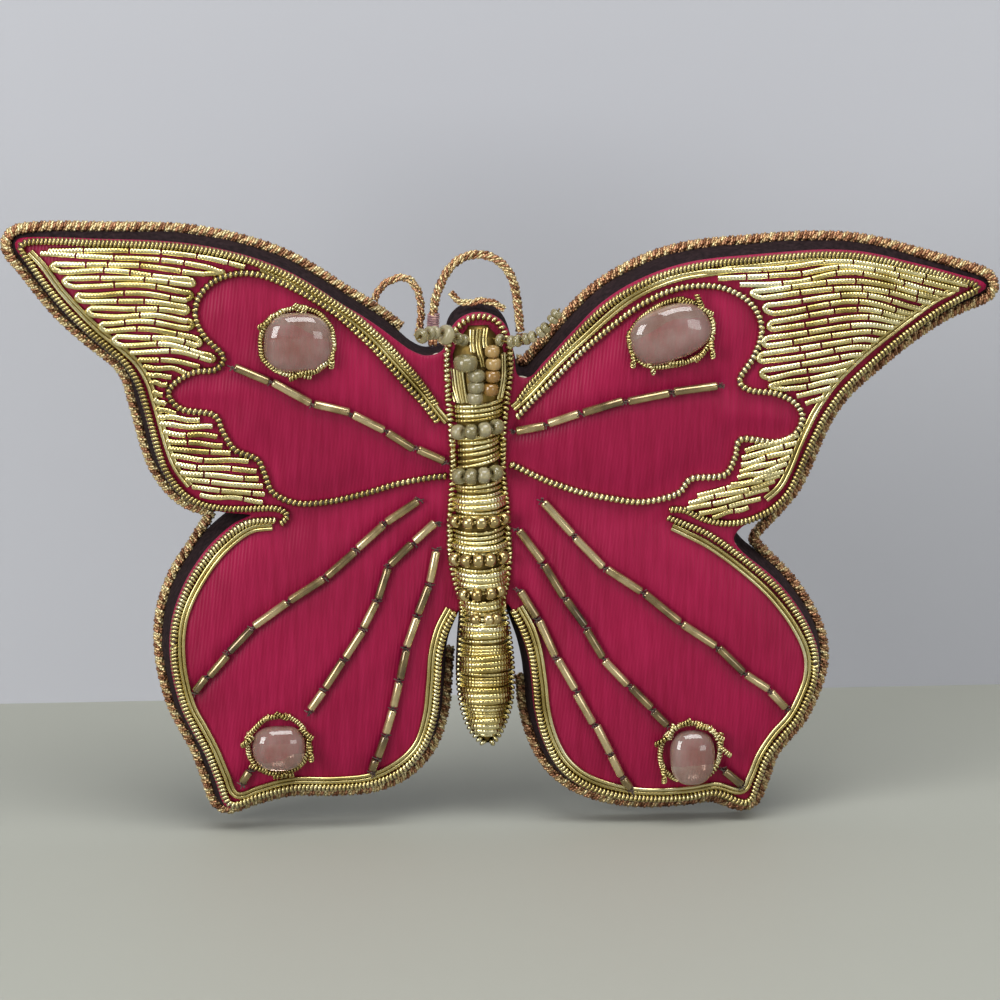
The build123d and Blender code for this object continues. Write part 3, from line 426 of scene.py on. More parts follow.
# The edge of the satin: a closed smooth line, a little outside the outline
satin_margin = 0.08
corners = in_space(front_places(outline_pixels), 0.0)
wrapped = smooth_line(np.vstack([corners[-3:], corners, corners[:3]]), 0.1)
from_start, halfway = np.linalg.norm(wrapped - corners[0], axis=1), len(wrapped) // 2
first = np.argmin(from_start[:len(wrapped) // 3])
last = halfway + np.argmin(from_start[halfway:])
satin_edge = even_steps(wrapped[first:last + 1], 0.5)[:-1, [0, 2]]
chords = np.roll(satin_edge, -2, axis=0) - np.roll(satin_edge, 2, axis=0)
satin_edge = satin_edge + square_to(chords) * satin_margin
edge_count = len(satin_edge)
edge_outwards = square_to(satin_edge - np.roll(satin_edge, 1, axis=0))

border_coils = {
    "left_forewing_coil": [
        (436, 400), (424, 383), (408, 363), (391, 344), (374, 328), (358, 314), (340, 302),
        (317, 287), (289, 271), (257, 258), (225, 249), (190, 243), (150, 240), (100, 239),
        (55, 238), (25, 242), (36, 263), (54, 287), (71, 306), (91, 325), (110, 341),
        (127, 356), (139, 375), (146, 396), (152, 418), (159, 444), (167, 465), (181, 484),
        (199, 496), (221, 501), (246, 502), (275, 502), (287, 509), (281, 517)],
    "left_hindwing_coil": [
        (273, 514), (252, 515), (236, 522), (217, 538), (204, 553), (189, 575), (178, 601),
        (173, 622), (172, 645), (175, 671), (183, 701), (193, 723), (206, 748), (217, 776),
        (229, 802), (257, 794), (292, 786), (336, 787), (373, 784), (403, 771), (424, 748),
        (435, 716), (438, 684), (440, 655), (446, 631), (455, 613)],
    "right_forewing_coil": [
        (521, 399), (532, 384), (548, 367), (564, 350), (581, 332), (600, 313), (620, 298),
        (642, 286), (666, 276), (693, 269), (722, 265), (755, 263), (790, 261), (825, 260),
        (857, 262), (884, 267), (910, 274), (939, 282), (964, 290), (986, 299), (967, 309),
        (943, 321), (909, 343), (877, 368), (848, 394), (830, 418), (819, 439), (811, 456),
        (803, 475), (793, 495), (780, 509), (765, 518), (747, 524), (726, 525), (706, 520),
        (688, 511), (674, 510)],
    "right_hindwing_coil": [
        (672, 519), (692, 527), (714, 537), (743, 558), (773, 583), (792, 604), (809, 629),
        (820, 656), (821, 681), (814, 704), (802, 727), (787, 745), (773, 764), (764, 789),
        (753, 811), (722, 800), (692, 804), (654, 805), (617, 800), (586, 788), (563, 769),
        (549, 742), (541, 713), (538, 684), (534, 656), (526, 632), (516, 612)],
    "left_scallop_coil": [
        (437, 417), (425, 401), (409, 383), (391, 362), (373, 342), (353, 323), (333, 306),
        (311, 292), (288, 280), (263, 270), (240, 268), (216, 275), (200, 291), (197, 311),
        (206, 330), (224, 349), (216, 362), (196, 364), (178, 373), (169, 386), (182, 401),
        (214, 407), (223, 424), (235, 442), (257, 452), (265, 468), (273, 486), (297, 497),
        (330, 496), (364, 489), (398, 480), (430, 475), (446, 474)],
    "right_scallop_coil": [
        (520, 415), (535, 399), (552, 382), (570, 364), (590, 345), (612, 327), (635, 310),
        (660, 296), (688, 288), (718, 288), (744, 298), (760, 315), (764, 336), (756, 358),
        (742, 380), (752, 391), (778, 395), (798, 405), (806, 420), (798, 437), (778, 444),
        (744, 440), (738, 458), (727, 476), (694, 479), (680, 494), (645, 502), (612, 498),
        (580, 491), (546, 479), (514, 464)]}

# Bugle beads, by the joints between them, root first
vein_pixels = {
    "left_forewing_veins": [
        [(446, 460), (416, 444), (386, 425), (351, 407), (312, 396), (271, 374), (233, 359)]],
    "right_forewing_veins": [
        [(516, 430), (548, 423), (582, 411), (627, 399), (673, 391), (722, 386)]],
    "left_hindwing_veins": [
        [(420, 496), (385, 519), (356, 544), (324, 571), (287, 594), (251, 619), (226, 645),
         (206, 669), (193, 686)],
        [(438, 520), (414, 540), (389, 562), (377, 596), (363, 624), (344, 654), (323, 684),
         (308, 706)],
        [(249, 766), (240, 780)],
        [(438, 547), (431, 582), (418, 613), (406, 645), (399, 677), (393, 706), (386, 733),
         (377, 757), (372, 772)]],
    "right_hindwing_veins": [
        [(544, 500), (576, 535), (607, 567), (645, 592), (683, 624), (720, 648), (748, 676),
         (774, 694), (793, 714)],
        [(519, 529), (544, 563), (566, 597), (588, 627), (606, 658), (631, 686), (655, 711),
         (672, 728)],
        [(728, 775), (748, 793)],
        [(520, 590), (539, 619), (558, 658), (578, 691), (597, 726), (613, 757), (625, 781),
         (634, 795)]]}

puff_height, puff_reach, vein_dent, vein_reach = 0.75, 3.6, 0.45, 1.3


def flat_line(pixels, step=0.5):
    """A smooth line through picture points, in x and z on the wings."""
    return smooth_line(in_space(front_places(pixels), 0.0), step)[:, [0, 2]]


held_down = np.vstack([flat_line(line) for line in border_coils.values()] + [satin_edge])
vein_runs = np.vstack([flat_line(vein) for veins in vein_pixels.values() for vein in veins])


def nearest(points, lines):
    """The distance from each point to the nearest point of some lines."""
    found = []
    for start in range(0, len(points), 2000):
        gaps = points[start:start + 2000, None, :] - lines[None, :, :]
        found.append(np.sqrt(np.min(np.sum(gaps**2, axis=2), axis=1)))
    return np.concatenate(found)


def satin_y(flat):
    """Depth of the satin: the padding, and how the cloth puffs between lines."""
    puff = puff_height * (1 - np.exp(-((nearest(flat, held_down) / puff_reach) ** 2)))
    return back_y - crown_height(flat) - puff


def off_satin(flat, lift):
    """Points in x and z, lifted off the satin."""
    return in_space(flat, satin_y(flat) - lift)


def on_satin(pixels, lift):
    """A smooth line through picture points, lifted off the satin."""
    return off_satin(flat_line(pixels, 0.3), lift)


def filled_outline(edge, spacing):
    """Points and triangles that fill a closed line in x and z."""
    low, high = edge.min(axis=0), edge.max(axis=0)
    xs, zs = np.arange(low[0], high[0], spacing), np.arange(low[1], high[1], spacing)
    grid = np.array([(x + (spacing / 2 if j % 2 else 0), z) for j, z in enumerate(zs) for x in xs])
    inside = np.zeros(len(grid), bool)
    for (x0, z0), (x1, z1) in zip(edge, np.roll(edge, -1, axis=0)):
        crosses = (z0 > grid[:, 1]) != (z1 > grid[:, 1])
        with np.errstate(divide="ignore", invalid="ignore"):
            reach = (x1 - x0) * (grid[:, 1] - z0) / (z1 - z0) + x0
        inside ^= crosses & (grid[:, 0] < reach)
    grid = grid[inside]
    grid = grid[nearest(grid, edge) > spacing * 0.55]
    count = len(edge)
    points = [Vector(p) for p in np.vstack([edge, grid]).tolist()]
    result = delaunay_2d_cdt(points, [(i, (i + 1) % count) for i in range(count)], [], 1, 1e-6)
    return np.array([tuple(p) for p in result[0]]), [tuple(f) for f in result[2]]


def mesh_piece(name, verts_mm, faces, material=None, weld=False):
    """A smooth mesh from points in millimetres."""
    mesh = bpy.data.meshes.new(name)
    mesh.from_pydata((np.asarray(verts_mm) * mm).tolist(), [], faces)
    if material:
        mesh.materials.append(material)
    work = bmesh.new()
    work.from_mesh(mesh)
    if weld:
        bmesh.ops.remove_doubles(work, verts=work.verts, dist=1e-6)
    bmesh.ops.recalc_face_normals(work, faces=work.faces)
    work.to_mesh(mesh)
    work.free()
    mesh.shade_smooth()
    return new_object(name, mesh)


def grid_faces(rings, count, first=0, closed=True):
    """Faces between rings of points that follow one another, closed or open."""
    return [(start + i, start + (i + 1) % count, start + count + (i + 1) % count, start + count + i)
            for start in range(first, first + (rings - 1) * count, count)
            for i in range(count if closed else count - 1)]


# Satin: a woven silk or rayon face with long floats, so it shines softly. Its
# threads are drawn 0.5 mm apart, coarser than real ones, so that they show.
satin, tree, shader = new_material(
    "fuchsia_satin_weave", Roughness=0.44, Sheen_Weight=0.08, Sheen_Roughness=0.4,
    Specular_IOR_Level=0.22)
shader.inputs["Sheen Tint"].default_value = linear("#E0608C")
weave_pitch, wave_rate = 0.0005, 20
cloudy = noise(tree, 45.0, 4.0, 0.6)
colour = ramp(tree, cloudy, [(0.3, "#80062F"), (0.72, "#960B3C")])
turned = add_node(tree, "ShaderNodeMapping", {
    "Vector": place_in(tree), "Rotation": (0.0, radians(-7), 0.0)})
weave = add_node(tree, "ShaderNodeTexWave", {
    "Vector": turned.outputs[0], "Scale": 2 * pi / weave_pitch / wave_rate, "Distortion": 0.8, "Detail": 2.0,
    "Detail Scale": 3.0}, wave_type="BANDS", bands_direction="X")
# Painted sheen: long stretched streaks of darker and lighter pink are mixed into the colour, standing in for
# how the satin catches the light.
streaks = add_node(tree, "ShaderNodeMapping", {
    "Vector": place_in(tree), "Scale": (1500.0, 250.0, 110.0)})
painted_sheen_streaks = add_node(tree, "ShaderNodeTexNoise", {
    "Vector": streaks.outputs[0], "Scale": 1.0, "Detail": 2.0})
shade = add_node(tree, "ShaderNodeMix", {0: 0.22, 6: colour, 7: ramp(
    tree, painted_sheen_streaks.outputs["Fac"], [(0.35, "#6C082A"), (0.7, "#A82552")])}, data_type="RGBA")
tree.links.new(shade.outputs[2], shader.inputs["Base Color"])
emboss(tree, shader, weave.outputs["Fac"], 0.45, 0.00006)

ripple_height = 0.05
points, faces = filled_outline(satin_edge, 0.8)
x, z = points.T
depth = satin_y(points) + vein_dent * np.exp(-((nearest(points, vein_runs) / vein_reach) ** 2))
ripple = ripple_height * np.sin(x * 0.9 + 2 * np.sin(z * 0.25)) * np.sin(z * 0.6)
verts = in_space(points, depth + ripple * (nearest(points, held_down) > 2))
turned_over = [verts[:edge_count] + in_space(edge_outwards * outwards, drop)
               for outwards, drop in ((0.10, 0.25), (0.06, 0.7), (0.0, 1.1))]
faces += [(i, len(verts) + i, len(verts) + (i + 1) % edge_count, (i + 1) % edge_count)
          for i in range(edge_count)]
faces += grid_faces(len(turned_over), edge_count, len(verts))
satin_piece = mesh_piece("satin_front", np.vstack([verts] + turned_over), faces, satin)
finish_piece(satin_piece, "butterfly", "satin", "front_satin")

# Velvet wall and back: short dark pile, glued round the card, which shows as a
# soft, uneven black-brown. The wall flares towards the cord, but not under the
# feet of the ring, which swing past it.
velvet, tree, shader = new_material(
    "black_velvet_pile", Roughness=0.95, Sheen_Weight=0.25, Sheen_Roughness=0.5,
    Specular_IOR_Level=0.1)
shader.inputs["Sheen Tint"].default_value = linear("#5A4440")
pile = noise(tree, 1400.0, 3.0)
rubbed = add_node(tree, "ShaderNodeMix", {0: noise(tree, 90.0), 6: linear("#140D10"), 7: ramp(
    tree, pile, [(0.35, "#171013"), (0.75, "#3A2B2E")])}, data_type="RGBA")
tree.links.new(rubbed.outputs[2], shader.inputs["Base Color"])
emboss(tree, shader, pile, 0.6, 0.0002)

wall_flare, feet_reach, rounding = 0.95, 4.5, 0.45
front_edge = back_y - crown_height(satin_edge) + rounding
uneven = 0.06 * np.sin(np.arange(edge_count) * 0.35)
ring_feet = front_places([(435, 338), (523, 338)])
flare = wall_flare * (1 - np.exp(-((nearest(satin_edge, ring_feet) / feet_reach) ** 2)))
wall_rings = []
for share, outwards, give in (
        (0.0, -0.05, 0), (0.1, 0.1, 1), (0.4, 0.6, 1), (0.75, 1.0, 1), (1.0, 0.95, 0)):
    y = front_edge + (back_y - 0.1 - front_edge) * share
    spot = satin_edge + edge_outwards * (outwards * flare + uneven * give)[:, None]
    wall_rings.append(in_space(spot, y))
wall = mesh_piece("velvet_wall", np.vstack(wall_rings), grid_faces(5, edge_count), velvet)
finish_piece(wall, "butterfly", "velvet", "side_gusset")

back_edge = wall_rings[-1][:, [0, 2]]
points, faces = filled_outline(back_edge, 2.2)
y = back_y - rounding * np.exp(-((nearest(points, back_edge) / 0.5) ** 2))
back_piece = mesh_piece("velvet_back", in_space(points, y), faces, velvet)
finish_piece(back_piece, "butterfly", "velvet", "back_panel")

# Felt and card under the satin
felt = grained(
    "white_felt_wadding", 800.0, 4.0, "#C4B8A2", "#E4DAC6", Roughness=1.0, Sheen_Weight=0.3)
board = grained("grey_mill_board", 500.0, 5.0, "#A89A80", "#CBBB9E", Roughness=0.85)


def repaint(node, material):
    """Gives a node of the solid model a finished material."""
    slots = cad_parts[node].data.materials
    slots.clear()
    slots.append(material)


repaint("wing_wadding", felt)
repaint("stiffener_card", board)


# ---------------------------------------------------------------------------
# Cord round the back edge
# A three-strand gilt cord is sewn along the back edge of each pair of wings.
# It is rosier and duller than the purl.

def moved_line(pixels, step, outwards, sway=0.0):
    """A smooth line in x and z beside picture points, with a slight sway."""
    flat = flat_line(pixels, step)
    sideways = outwards + sway * np.sin(np.arange(len(flat)) * 0.15)
    return flat + square_to(np.gradient(flat, axis=0)) * sideways[:, None]


left_edge_pixels = outline_pixels[:27] + [(194, 497), (222, 512), (205, 546)] + outline_pixels[33:54]
right_edge_pixels = outline_pixels[60:82] + [(768, 573), (752, 548), (782, 513)] + outline_pixels[87:119]
braid_outwards, braid_y = 1.52, back_y - 0.78
for side, pixels in (("left", left_edge_pixels), ("right", right_edge_pixels)):
    edge_line = even_steps(in_space(moved_line(pixels, 0.4, braid_outwards), braid_y), 0.16)
    edge_line[:, 1] += 0.14 * np.sin(np.arange(len(edge_line)) * 0.06) - 0.05
    threads = cord_threads(
        edge_line, strands=3, lay=0.48, pitch=3.8, threads=3, thread_lay=0.27, thread_pitch=1.7)
    braid = round_threads(f"{side}_edge_cord", threads, 0.22, 6, gold_cord)
    finish_piece(braid, "butterfly", "gold_cord", f"{side}_edge_braid")


# ---------------------------------------------------------------------------
# Border coils
# Coils of gilt wire, wound like springs, are couched along the edges of the
# wings and round the scalloped fields. A dark core inside each is painted shade.

def toned(tree, patches, share):
    """Patches, shifted by a share of the tone that each thread or bead has."""
    return calculate(tree, "ADD", calculate(tree, "MULTIPLY", carried(tree, "tone"), share), patches)


# Gilt wire: polished brass with a thin gilding, pale in patches and brownish
# where it has tarnished
gilt_purl, tree, shader = new_material("gilt_brass_wire", Metallic=1.0, Roughness=0.24)
patches = noise(tree, 120.0, 4.0, 0.65)
tint(tree, shader, toned(tree, patches, 0.3), [
    (0.35, "#8F7E48"), (0.95, "#EDE6C0"), (0.55, "#BDAC72"), (0.72, "#D3C690")])
rough = add_node(tree, "ShaderNodeMapRange", {"Value": patches, 3: 0.34, 4: 0.18})
tree.links.new(rough.outputs[0], shader.inputs["Roughness"])

# Sewing thread: dark and waxed. The same material colours the dark coil cores, which are painted shade.
dark_thread_and_core_shade = grained("waxed_thread_and_core_shade", 700.0, 2.0, "#2C201C", "#66524A", Roughness=0.7)

turn_lean = (radians(22), radians(16), 0.0)
coil_tree, sockets, end = new_tree("wound_coil", [
    ("Pitch", "NodeSocketFloat"), ("Coil radius", "NodeSocketFloat"),
    ("Wire radius", "NodeSocketFloat"), ("Material", "NodeSocketMaterial")])
curves = add_node(coil_tree, "GeometryNodeMeshToCurve", {"Mesh": sockets["Geometry"]})
stepped = add_node(coil_tree, "GeometryNodeResampleCurve", {
    "Curve": curves.outputs["Curve"], "Length": sockets["Pitch"]}, mode="LENGTH")
turn_line = add_node(coil_tree, "GeometryNodeCurvePrimitiveCircle", {
    "Resolution": 12, "Radius": sockets["Coil radius"]})
wire_profile = add_node(coil_tree, "GeometryNodeCurvePrimitiveCircle", {
    "Resolution": 6, "Radius": sockets["Wire radius"]})
one_turn = add_node(coil_tree, "GeometryNodeCurveToMesh", {
    "Curve": turn_line.outputs["Curve"], "Profile Curve": wire_profile.outputs["Curve"]})
leaned = add_node(coil_tree, "GeometryNodeTransform", {
    "Geometry": one_turn.outputs["Mesh"], "Rotation": turn_lean})
tangent = add_node(coil_tree, "GeometryNodeInputTangent")
turned = add_node(coil_tree, "FunctionNodeAlignRotationToVector", {
    "Vector": tangent.outputs["Tangent"]}, axis="Z")
placed = add_node(coil_tree, "GeometryNodeInstanceOnPoints", {
    "Points": stepped.outputs["Curve"], "Instance": leaned.outputs["Geometry"],
    "Rotation": turned.outputs["Rotation"]})
end_tree(coil_tree, end, placed.outputs["Instances"], sockets["Material"])


def wound_coils(name, lines, radius, wire, pitch):
    """Coils of wire along lines, as one mesh."""
    tones = chance.random(len(lines))
    return grown(line_object(name, lines, tones), coil_tree, {
        "Pitch": pitch * mm, "Coil radius": (radius - wire) * mm,
        "Wire radius": wire * mm, "Material": gilt_purl})


coil_radius, shade_core_radius, shade_core_lines = 0.64, 0.36, []
for node, pixels in border_coils.items():
    line = on_satin(pixels, coil_radius * 0.75)
    line[:, 1] += 0.05 * np.sin(np.arange(len(line)) * 0.21 + len(node))
    pitch, wire = (0.80, 0.30) if "scallop" in node else (0.62, 0.25)
    coil = wound_coils(f"{node}_wound", [line], coil_radius, wire, pitch)
    finish_piece(coil, "butterfly", "gilt_purl", node)
    shade_core_lines.append(line)
# Painted shade: a dark thread inside every coil, so that the gaps between its turns look dark.
shade_core = round_threads("coil_cores", shade_core_lines, shade_core_radius, 6, dark_thread_and_core_shade)
finish_piece(shade_core, "butterfly", "thread")


# ---------------------------------------------------------------------------
# Smooth threads
# Smooth bright threads, called strips in the names, lie in pairs beside the
# border coils and along the inside of the hindwings' borders.

smooth_lines = {
    "left_forewing_purl": [
        (447, 420), (436, 407), (424, 391), (408, 372), (391, 353), (374, 335), (356, 319),
        (337, 304), (314, 289), (288, 276), (262, 264)],
    "right_forewing_purl": [
        (516, 408), (533, 392), (550, 374), (568, 356), (588, 337), (609, 318), (632, 301),
        (657, 288), (684, 279), (716, 275), (760, 271), (806, 268), (852, 269)],
    "left_outer_purl": [
        (32, 250), (46, 264), (62, 286), (80, 306), (100, 325), (119, 340), (136, 356),
        (147, 374), (154, 395), (160, 416), (167, 442), (175, 462), (188, 479)],
    "right_outer_purl": [
        (962, 302), (944, 310), (923, 323), (903, 336), (872, 359), (842, 386), (823, 411),
        (812, 433), (803, 453), (795, 472), (785, 490), (771, 503)],
    "left_hindwing_purl": [
        (272, 523), (251, 526), (229, 541), (213, 558), (199, 580), (188, 604), (183, 625),
        (182, 646), (185, 670), (193, 699), (203, 719), (216, 745), (227, 771), (236, 790),
        (258, 784), (291, 776), (335, 777), (369, 775), (395, 763), (415, 744), (425, 715),
        (428, 684), (430, 654), (437, 628), (448, 607)],
    "right_hindwing_purl": [
        (674, 530), (689, 537), (710, 548), (736, 567), (765, 591), (783, 611), (799, 635),
        (810, 659), (811, 681), (804, 701), (793, 721), (778, 738), (764, 760), (754, 784),
        (746, 796), (722, 790), (692, 794), (654, 795), (620, 790), (592, 780), (572, 763),
        (559, 739), (551, 711), (548, 682), (544, 653), (536, 628), (524, 606)]}
strip_places = {"forewing": (0.50, -0.10), "hindwing": (0.68, 0.06), "outer": (0.02, -0.58)}
strip_radius, strip_lift = 0.32, 0.34
for node, pixels in smooth_lines.items():
    side, place_name = node.split("_")[:2]
    towards_edge = 1 if side == "left" else -1
    lines = [off_satin(moved_line(pixels, 0.35, outwards * towards_edge, 0.05), strip_lift)
             for outwards in strip_places[place_name]]
    strips = round_threads(f"{node}_strips", lines, strip_radius, 8, gilt_purl)
    finish_piece(strips, "butterfly", "gilt_purl", node)


# ---------------------------------------------------------------------------
# Cut purl
# Bright check purl fills the tips in rows that turn back at their ends, and
# the lobes below them in shorter rows. It dips every few millimetres, where
# stitches hold it, and its facets break up the light.

check_purl, tree, shader = new_material("bright_check_purl", Metallic=1.0, Roughness=0.22)
tint(tree, shader, toned(tree, noise(tree, 150.0, 4.0, 0.6), 0.25), [
    (0.38, "#A08D50"), (0.92, "#F4EEC8"), (0.55, "#D0C084"), (0.7, "#E4D8A2")])
facets = add_node(tree, "ShaderNodeTexVoronoi", {"Vector": place_in(tree), "Scale": 1500.0})
relief = calculate(tree, "ADD", ribs(tree, 0.0005), facets.outputs["Distance"])
emboss(tree, shader, relief, 0.35, 0.00006)

left_rows = [
    [(52, 247), (150, 246), (205, 252), (246, 262)], [(44, 250), (140, 253), (200, 260), (222, 266)],
    [(58, 259), (140, 260), (206, 268)], [(62, 266), (130, 266), (190, 273)],
    [(70, 273), (140, 272), (193, 279)], [(76, 281), (140, 278), (190, 286)],
    [(82, 288), (150, 287), (188, 293)], [(85, 295), (150, 294), (186, 300)],
    [(93, 302), (150, 301), (186, 306)], [(97, 309), (150, 308), (188, 313)],
    [(106, 316), (150, 314), (190, 321)], [(108, 324), (150, 321), (194, 330)],
    [(118, 330), (160, 329), (198, 338)], [(124, 338), (166, 336), (204, 346)],
    [(132, 345), (176, 343), (212, 353)], [(140, 352), (172, 352), (200, 359)],
    [(145, 359), (170, 360), (186, 365)], [(148, 366), (172, 369)], [(151, 374), (168, 377)]]
right_rows = [
    [(706, 273), (780, 272), (858, 267), (975, 297)], [(720, 280), (800, 277), (860, 273), (966, 300)],
    [(742, 286), (800, 284), (860, 279), (954, 303)], [(757, 293), (860, 286), (945, 307)],
    [(766, 300), (860, 292), (936, 312)], [(770, 307), (860, 299), (927, 317)],
    [(775, 315), (860, 306), (918, 321)], [(777, 323), (860, 313), (910, 325)],
    [(775, 331), (860, 321), (904, 329)], [(772, 339), (860, 329), (898, 334)],
    [(769, 347), (860, 336), (890, 339)], [(766, 355), (855, 344), (882, 346)],
    [(765, 363), (850, 352), (874, 352)], [(767, 371), (848, 360), (866, 359)],
    [(770, 379), (845, 368), (858, 366)], [(776, 386), (840, 376), (850, 374)],
    [(790, 391), (842, 383)], [(800, 398), (834, 391)], [(809, 406), (828, 400)]]
left_lobe_rows = [
    [(154, 384), (163, 387)], [(155, 392), (166, 396)], [(157, 400), (176, 405)],
    [(159, 408), (200, 412)], [(161, 416), (212, 419)], [(164, 424), (217, 428)],
    [(167, 432), (222, 437)], [(169, 440), (230, 445)], [(172, 448), (248, 454)],
    [(176, 456), (256, 463)], [(181, 464), (258, 471)], [(186, 471), (262, 479)],
    [(192, 479), (264, 487)], [(200, 487), (262, 494)]]
right_lobe_rows = [
    [(748, 446), (802, 444)], [(745, 453), (800, 451)], [(744, 460), (796, 458)],
    [(743, 467), (793, 465)], [(741, 474), (790, 472)], [(734, 481), (787, 479)],
    [(700, 487), (783, 486)], [(692, 494), (778, 493)], [(690, 501), (772, 500)],
    [(702, 508), (764, 507)], [(716, 514), (752, 513)]]


purl_radius, purl_lift = 0.49, 0.36


def purl_rows(rows, turn_back, slant):
    """Rows of purl in lengths that meet end to end, some turning back."""
    lines = []
    for index, row in enumerate(rows):
        line = on_satin(row, purl_lift)
        line[:, 2] += slant * (line[:, 0] - line[:, 0].mean())
        along = np.linspace(0, 1, len(line))
        line[:, 2] += 0.17 * np.sin(along * 8 + index * 1.7) * chance.random()
        line[:, 1] -= 0.10 * np.abs(np.sin(along * len(line) * 0.17 + index))
        start, total = 0, len(line)
        while start < total - 3:
            stop = min(total, start + int(chance.integers(11, 24)))
            if total - stop < 6:
                stop = total
            lines.append(line[start:stop])
            start = stop
    for upper, lower, end_index in turn_back:
        first, second = (on_satin(rows[row], purl_lift)[end_index] for row in (upper, lower))
        reach = [0.45 * np.linalg.norm(first - second) * (1 if end_index == -1 else -1), 0, 0]
        lines.append(smooth_line([first, first * 0.75 + second * 0.25 + reach,
                                  first * 0.25 + second * 0.75 + reach, second], 0.2))
    return [line for line in lines if len(line) > 2]


left_turns = [(i, i + 1, -1) for i in range(1, 14, 2)] + [(i, i + 1, 0) for i in range(2, 14, 2)]
right_turns = [(i, i + 1, 0) for i in range(3, 16, 2)]
for node, groups in (
        ("left_cut_purl", ((left_rows, left_turns, 0.0), (left_lobe_rows, [], 0.0))),
        ("right_cut_purl", ((right_rows, right_turns, 0.0), (right_lobe_rows, [], 0.22)))):
    lines = [line for group in groups for line in purl_rows(*group)]
    filling = round_threads(f"{node}_rows", lines, purl_radius, 8, check_purl)
    finish_piece(filling, "butterfly", "gilt_purl", node)


# ---------------------------------------------------------------------------
# Bugle beads
# The veins are silver-lined glass tubes, sewn down one by one. The thread
# shows as small tufts where they meet.

strung_tree, sockets, end = new_tree("strung_beads", [
    ("Bead", "NodeSocketObject"), ("Material", "NodeSocketMaterial")])
bead_form = add_node(strung_tree, "GeometryNodeObjectInfo", {"Object": sockets["Bead"]})
along_field, size_field = (
    add_node(strung_tree, "GeometryNodeInputNamedAttribute", {"Name": name}, data_type="FLOAT_VECTOR")
    for name in ("along", "size"))
turned = add_node(strung_tree, "FunctionNodeAlignRotationToVector", {
    "Vector": along_field.outputs["Attribute"]}, axis="Z")
cloud = add_node(strung_tree, "GeometryNodeMeshToPoints", {"Mesh": sockets["Geometry"]})
placed = add_node(strung_tree, "GeometryNodeInstanceOnPoints", {
    "Points": cloud.outputs["Points"], "Instance": bead_form.outputs["Geometry"],
    "Rotation": turned.outputs["Rotation"], "Scale": size_field.outputs["Attribute"]})
end_tree(strung_tree, end, placed.outputs["Instances"], sockets["Material"])


def turned_bead(name, outline, sides):
    """A bead as a closed outline of radius and height, turned about Z."""
    angles = [2 * pi * k / sides for k in range(sides)]
    verts = [(radius * cos(angle), radius * sin(angle), height)
             for radius, height in outline for angle in angles]
    faces = grid_faces(len(outline) + 1, sides)
    return mesh_piece(name, verts, [tuple(i % len(verts) for i in face) for face in faces])


def string_beads(name, spots, alongs, sizes, bead, material):
    """Copies of a bead at spots, each turned along its thread and sized."""
    mesh = bpy.data.meshes.new(name)
    mesh.from_pydata((np.asarray(spots) * mm).tolist(), [], [])
    for field, values in (("along", alongs), ("size", sizes)):
        mesh.attributes.new(field, "FLOAT_VECTOR", "POINT").data.foreach_set(
            "vector", np.asarray(values, float).ravel())
    mesh.attributes.new("tone", "FLOAT", "POINT").data.foreach_set("value", chance.random(len(spots)))
    return grown(new_object(name, mesh), strung_tree, {"Bead": bead, "Material": material})


# Silver-lined glass: a bright lining under smoky, yellow-grey glass
bugle_glass, tree, shader = new_material(
    "silver_lined_glass", Metallic=0.75, Roughness=0.2, Coat_Weight=1.0, Coat_Roughness=0.06)
tint(tree, shader, toned(tree, noise(tree, 300.0), 0.6), [
    (0.4, "#4F4029"), (1.0, "#C9B587"), (0.6, "#7A6740"), (0.8, "#A08A5C")])
bugle_form = turned_bead("bugle_form", [
    (0.30, -0.5), (0.50, -0.5), (0.62, -0.485), (0.66, -0.45), (0.66, 0.45), (0.62, 0.485),
    (0.50, 0.5), (0.30, 0.5)], 14)
bugle_lift, joint_gap, tuft_threads, tuft_lines = 0.42, 0.45, 7, []
for node, veins in vein_pixels.items():
    spots, alongs, sizes = [], [], []
    for vein in veins:
        joints = off_satin(front_places(vein), bugle_lift)
        for start, stop in zip(joints, joints[1:]):
            length = np.linalg.norm(stop - start)
            along = (stop - start) / length
            across = np.cross(along, [0, -1, 0])
            spots.append((start + stop) / 2 + across * chance.uniform(-0.18, 0.18))
            alongs.append(along + across * chance.uniform(-0.03, 0.03))
            sizes.append((1, 1, length - joint_gap - chance.uniform(0, 0.3)))
        for joint in joints:
            for thread in range(tuft_threads):
                lean, rise = chance.uniform(-0.6, 0.6, 3) * [1, 0.5, 1], chance.uniform(0.3, 0.9)
                tuft_lines.append(smooth_line([
                    joint + [0, 0.3, 0], joint + lean * 0.5 + [0, -0.35 * rise, 0],
                    joint + lean + [0, -rise, 0]], 0.15))
            tuft_lines.append(smooth_line([
                joint + [-0.75, 0.35, 0.1], joint + [-0.2, -0.35, 0], joint + [0.3, -0.3, -0.05],
                joint + [0.75, 0.35, -0.1]], 0.15))
    veins_piece = string_beads(f"{node}_bugles", spots, alongs, sizes, bugle_form, bugle_glass)
    finish_piece(veins_piece, "butterfly", "bugle_glass", node)
bpy.data.objects.remove(bugle_form)
tufts = round_threads("vein_thread_tufts", tuft_lines, 0.10, 5, dark_thread_and_core_shade)
finish_piece(tufts, "butterfly", "thread")


# ---------------------------------------------------------------------------
# Stones
# Four tumbled glass stones sit on the satin, each held by a rough ring of cut
# bullion. They are all of one smoky pink glass.

# Glass: clear with a faint brownish pink, polished by tumbling
stone_glass, tree, shader = new_material(
    "tumbled_pink_glass", Roughness=0.05, Transmission_Weight=0.78, IOR=1.5, Coat_Weight=0.6,
    Coat_Roughness=0.03)
veils = noise(tree, 220.0, 5.0, 0.6)
tint(tree, shader, veils, [(0.35, "#C69C8A"), (0.7, "#EEDCCE")])
emboss(tree, shader, veils, 0.12, 0.0002)

